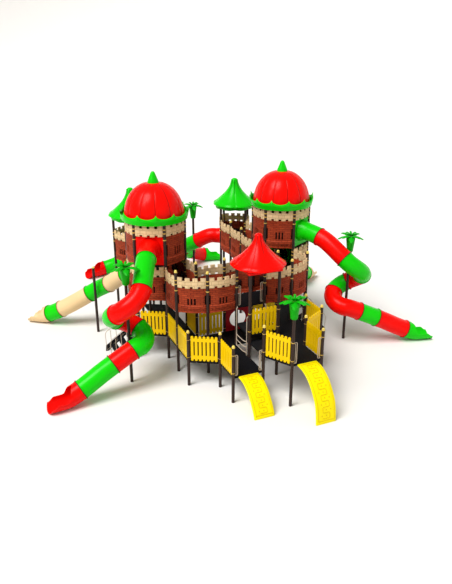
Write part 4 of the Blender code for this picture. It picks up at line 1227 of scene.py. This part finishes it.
def stair(name, start, end):
    """Treads between two stringers from the low deck to the floor, with a rail on each side."""
    middle, half, along, out = between(start, end)
    half -= 0.16
    rise, going, run = LOW / STAIR_STEPS, STAIR_RUN / STAIR_STEPS, STAIR_RUN
    slope = [(0.003, LOW - 0.10), (0.003, LOW - 0.004), (0.05, LOW - 0.004), (run, rise)]
    slope += [(run + 0.02, 0.004), (run - 0.10, 0.004), (0.02, LOW - 0.22)]
    paths = []
    for k in (-1, 1):
        base = middle + along * k * half

        def spot(ahead, z):
            return base + out * ahead + up(z)

        stringer = upright_plate(f"{name}_stringer{k + 2}", [slope], 0.02, base, out)
        piece(stringer, "black_metal", smooth=False)
        rail = [spot(0.04, LOW - 0.06), spot(0.05, LOW + 0.60), spot(run * 0.45, LOW + 0.26)]
        rail += [spot(run, 0.83), spot(run - 0.03, 0.02)]
        paths.append(rounded(rail, 0.12))
        for share in (0.2, 0.4, 0.6, 0.8):
            top = rail[1].lerp(rail[3], share) - up(0.09)
            paths.append([spot(run * share, LOW - LOW * share - 0.02), top])
        paths.append([spot(0.02, LOW - 0.05), spot(run - 0.03, 0.03)])
    bm = bmesh.new()
    for k in range(1, STAIR_STEPS):
        centre = middle + out * (going * (k - 0.1)) + up(LOW - rise * k)
        box_into(bm, centre, along, out, (2 * half - 0.03, going * 0.92, 0.035))
    piece(bevel_edges(add(f"{name}_treads", bm), 0.006), "black_metal", name, smooth=False)
    rods(f"{name}_rails", paths, 0.012, "light_metal")


def ladder(name, start, end):
    """Two bars that hook onto posts above a deck edge, with bowed rungs between them."""
    out = between(start, end)[3]
    posts = both_ends(start, end)
    feet = [post + inward * 0.13 + out * 0.05 for post, inward in posts]
    paths = []
    for foot, (post, inward) in zip(feet, posts):
        bar = [foot + up(LOW + 0.001), foot + up(LADDER_TOP - 0.02)]
        bar += [post + inward * reach + up(LADDER_TOP) for reach in (0.11, POST_RADIUS)]
        paths.append(rounded(bar, 0.05))
    for z in LADDER_RUNGS:
        bent = [foot + inward * 0.16 + out * 0.07 + up(z) for foot, (_, inward) in zip(feet, posts)]
        paths.append(rounded([feet[0] + up(z), *bent, feet[1] + up(z)], 0.12))
    rods(f"{name}_bars", paths, 0.017, "light_metal", name)


def build_stairs():
    stair("left_stair", "left3", "left4")
    stair("right_stair", "right5", "right4")
    ladder("centre_ladder", "walk3", "centre1")


# Palms and the pole


def palm(name, centre, height, twist, pole=True):
    """A crown of leaves over a fluted cup, on a pole of its own or on a post."""
    place = world(centre)
    green = "leaf_green_plastic"
    bm = bmesh.new()
    for k in range(8):
        add_leaf(bm, place, height, tau * (k + twist) / 8, 0.505, 0.05 if k % 2 else -0.02)
    for k in range(5):
        add_leaf(bm, place, height + 0.03, tau * (k + 0.3) / 5, 0.22, 0.10)
    shell(f"{name}_leaves", bm, 0.022, green, name, bevel=0.006, sharp=60)
    profile = [(0, -CUP_HEIGHT), (0.105, -CUP_HEIGHT), (0.122, -CUP_HEIGHT + 0.03), (0.145, -0.30)]
    profile += [(0.165, -0.12), (0.178, -0.02), (0.165, 0.03), (0.10, 0.07), (0, 0.08)]
    cup = bmesh.new()
    add_turned(cup, place, [(radius, height + z) for radius, z in profile], 32)
    for vert in cup.verts:
        if vert.co.z > height - CUP_HEIGHT + 0.01:
            x, y = vert.co.x - place.x, vert.co.y - place.y
            scale = 1 + 0.045 * abs(sin(4 * atan2(y, x)))
            vert.co.x, vert.co.y = place.x + x * scale, place.y + y * scale
    piece(add(f"{name}_cup", cup), green)
    if pole:
        turned(f"{name}_trunk", place, pole_profile(height - CUP_HEIGHT), 24, "dark_posts")


def add_leaf(bm, place, height, turn, reach, tilt):
    """Adds a pointed leaf with a folded middle and a notched edge."""
    out = Vector((cos(turn), sin(turn), 0))
    side = Vector((-out.y, out.x, 0))
    rows = []
    for share, half in zip(LEAF_SHARES, LEAF_HALVES):
        half *= reach / 0.5
        rise = 0.05 + tilt * share * 2 + 0.06 * sin(pi * share) - 0.05 * share**2
        spine = place + out * (reach * share) + up(height + rise)
        low = up(-0.02 - half * 0.15)
        spots = (spine - side * half + low, spine, spine + side * half + low)
        rows.append([bm.verts.new(spot) for spot in spots])
    for a, b in zip(rows, rows[1:]):
        bm.faces.new((a[0], a[1], b[1], b[0]))
        bm.faces.new((a[1], a[2], b[2], b[1]))


def pole_profile(top):
    return [(0, 0), (POST_RADIUS, 0), (POST_RADIUS, top), (0, top)]


def build_palms():
    palm("left_palm", LEFT_PALM, SPIRAL_PALM_TOP, 0.5)
    palm("right_palm", RIGHT_PALM, SPIRAL_PALM_TOP, 0.0)
    palm("back_right_palm", BACK_PALM, BACK_PALM_TOP, 0.5)
    palm("back_left_palm", mirrored(BACK_PALM), BACK_PALM_TOP, 0.0)
    palm("front_palm_crown", AT["entry1"], PALM_POST_TOP + CUP_HEIGHT, 0.0, pole=False)
    place = world(SIDE_POLE)
    turned("side_pole_bar", place, pole_profile(POLE_TOP), 24, "dark_posts", "side_pole")
    cap = [(0, 2.93), (0.056, 2.93), (0.056, 2.98), (0.03, 3.01), (0, 3.017)]
    turned("side_pole_cap", place, cap, 20, "cap_yellow")


# Floor, lights and camera


def studio_floor():
    """A wide white floor whose edge curves up to a wall."""
    turns = [pi / 2 * (k / 12 - 1) for k in range(1, 13)]
    profile = [(0.0, 0.0), (90.0, 0.0), *arc(90, 30, 30, 30, turns), (120.0, 70.0)]
    corners = [*circle(96), (1, 0)]

    def place(i, j):
        return (profile[j][0] * corners[i][0], profile[j][0] * corners[i][1], profile[j][1])

    floor = add("studio_floor", bent_grid(96, len(profile) - 1, place, weld=0.001))
    floor.data.shade_smooth()
    floor.location.z = -0.002
    floor.data.materials.append(shader_nodes("floor_white", (0.84, 0.82, 0.79), 0.9, 0.05)[0])


def light(name, kind, energy, way):
    """A lamp that shines this way."""
    data = bpy.data.lights.new(name, kind)
    data.energy = energy
    obj = link(name, data)
    obj.rotation_euler = Vector(way).to_track_quat("-Z", "Y").to_euler()
    return obj


def build_lights():
    sky = bpy.data.worlds.new("studio")
    bpy.context.scene.world = sky
    sky.use_nodes = True
    feed(sky.node_tree, sky.node_tree.nodes["Background"], Color=(1.0, 1.0, 1.0), Strength=0.40)
    light("soft_sun", "SUN", 3.15, (0.42, 0.50, -1.0)).data.angle = radians(32)
    lamp = light("left_lamp", "AREA", 900, (16, 18, -18))
    lamp.data.shape = "DISK"
    lamp.data.size = 6
    lamp.location = (-16, -18, 20)


def build_camera():
    """The photo's camera, as it was fitted to the posts."""
    bpy.context.scene.view_settings.view_transform = "Standard"
    view = bpy.data.cameras.new("photo_camera")
    view.sensor_fit = "AUTO"
    view.sensor_width = 36
    view.lens = 39.17
    view.clip_end = 300
    camera = link("photo_camera", view)
    camera.location = (3.130 - CENTRE[0] * MODULE, -21.214 - CENTRE[1] * MODULE, 12.046)
    camera.rotation_euler = (radians(67.88), 0, radians(6.6))
    bpy.context.scene.camera = camera


build_frames()
build_walls()
build_roofs()
build_slides()
build_fences()
hole_panel()
build_climbers()
build_stairs()
build_palms()
studio_floor()
build_lights()
build_camera()

bpy.context.view_layer.update()
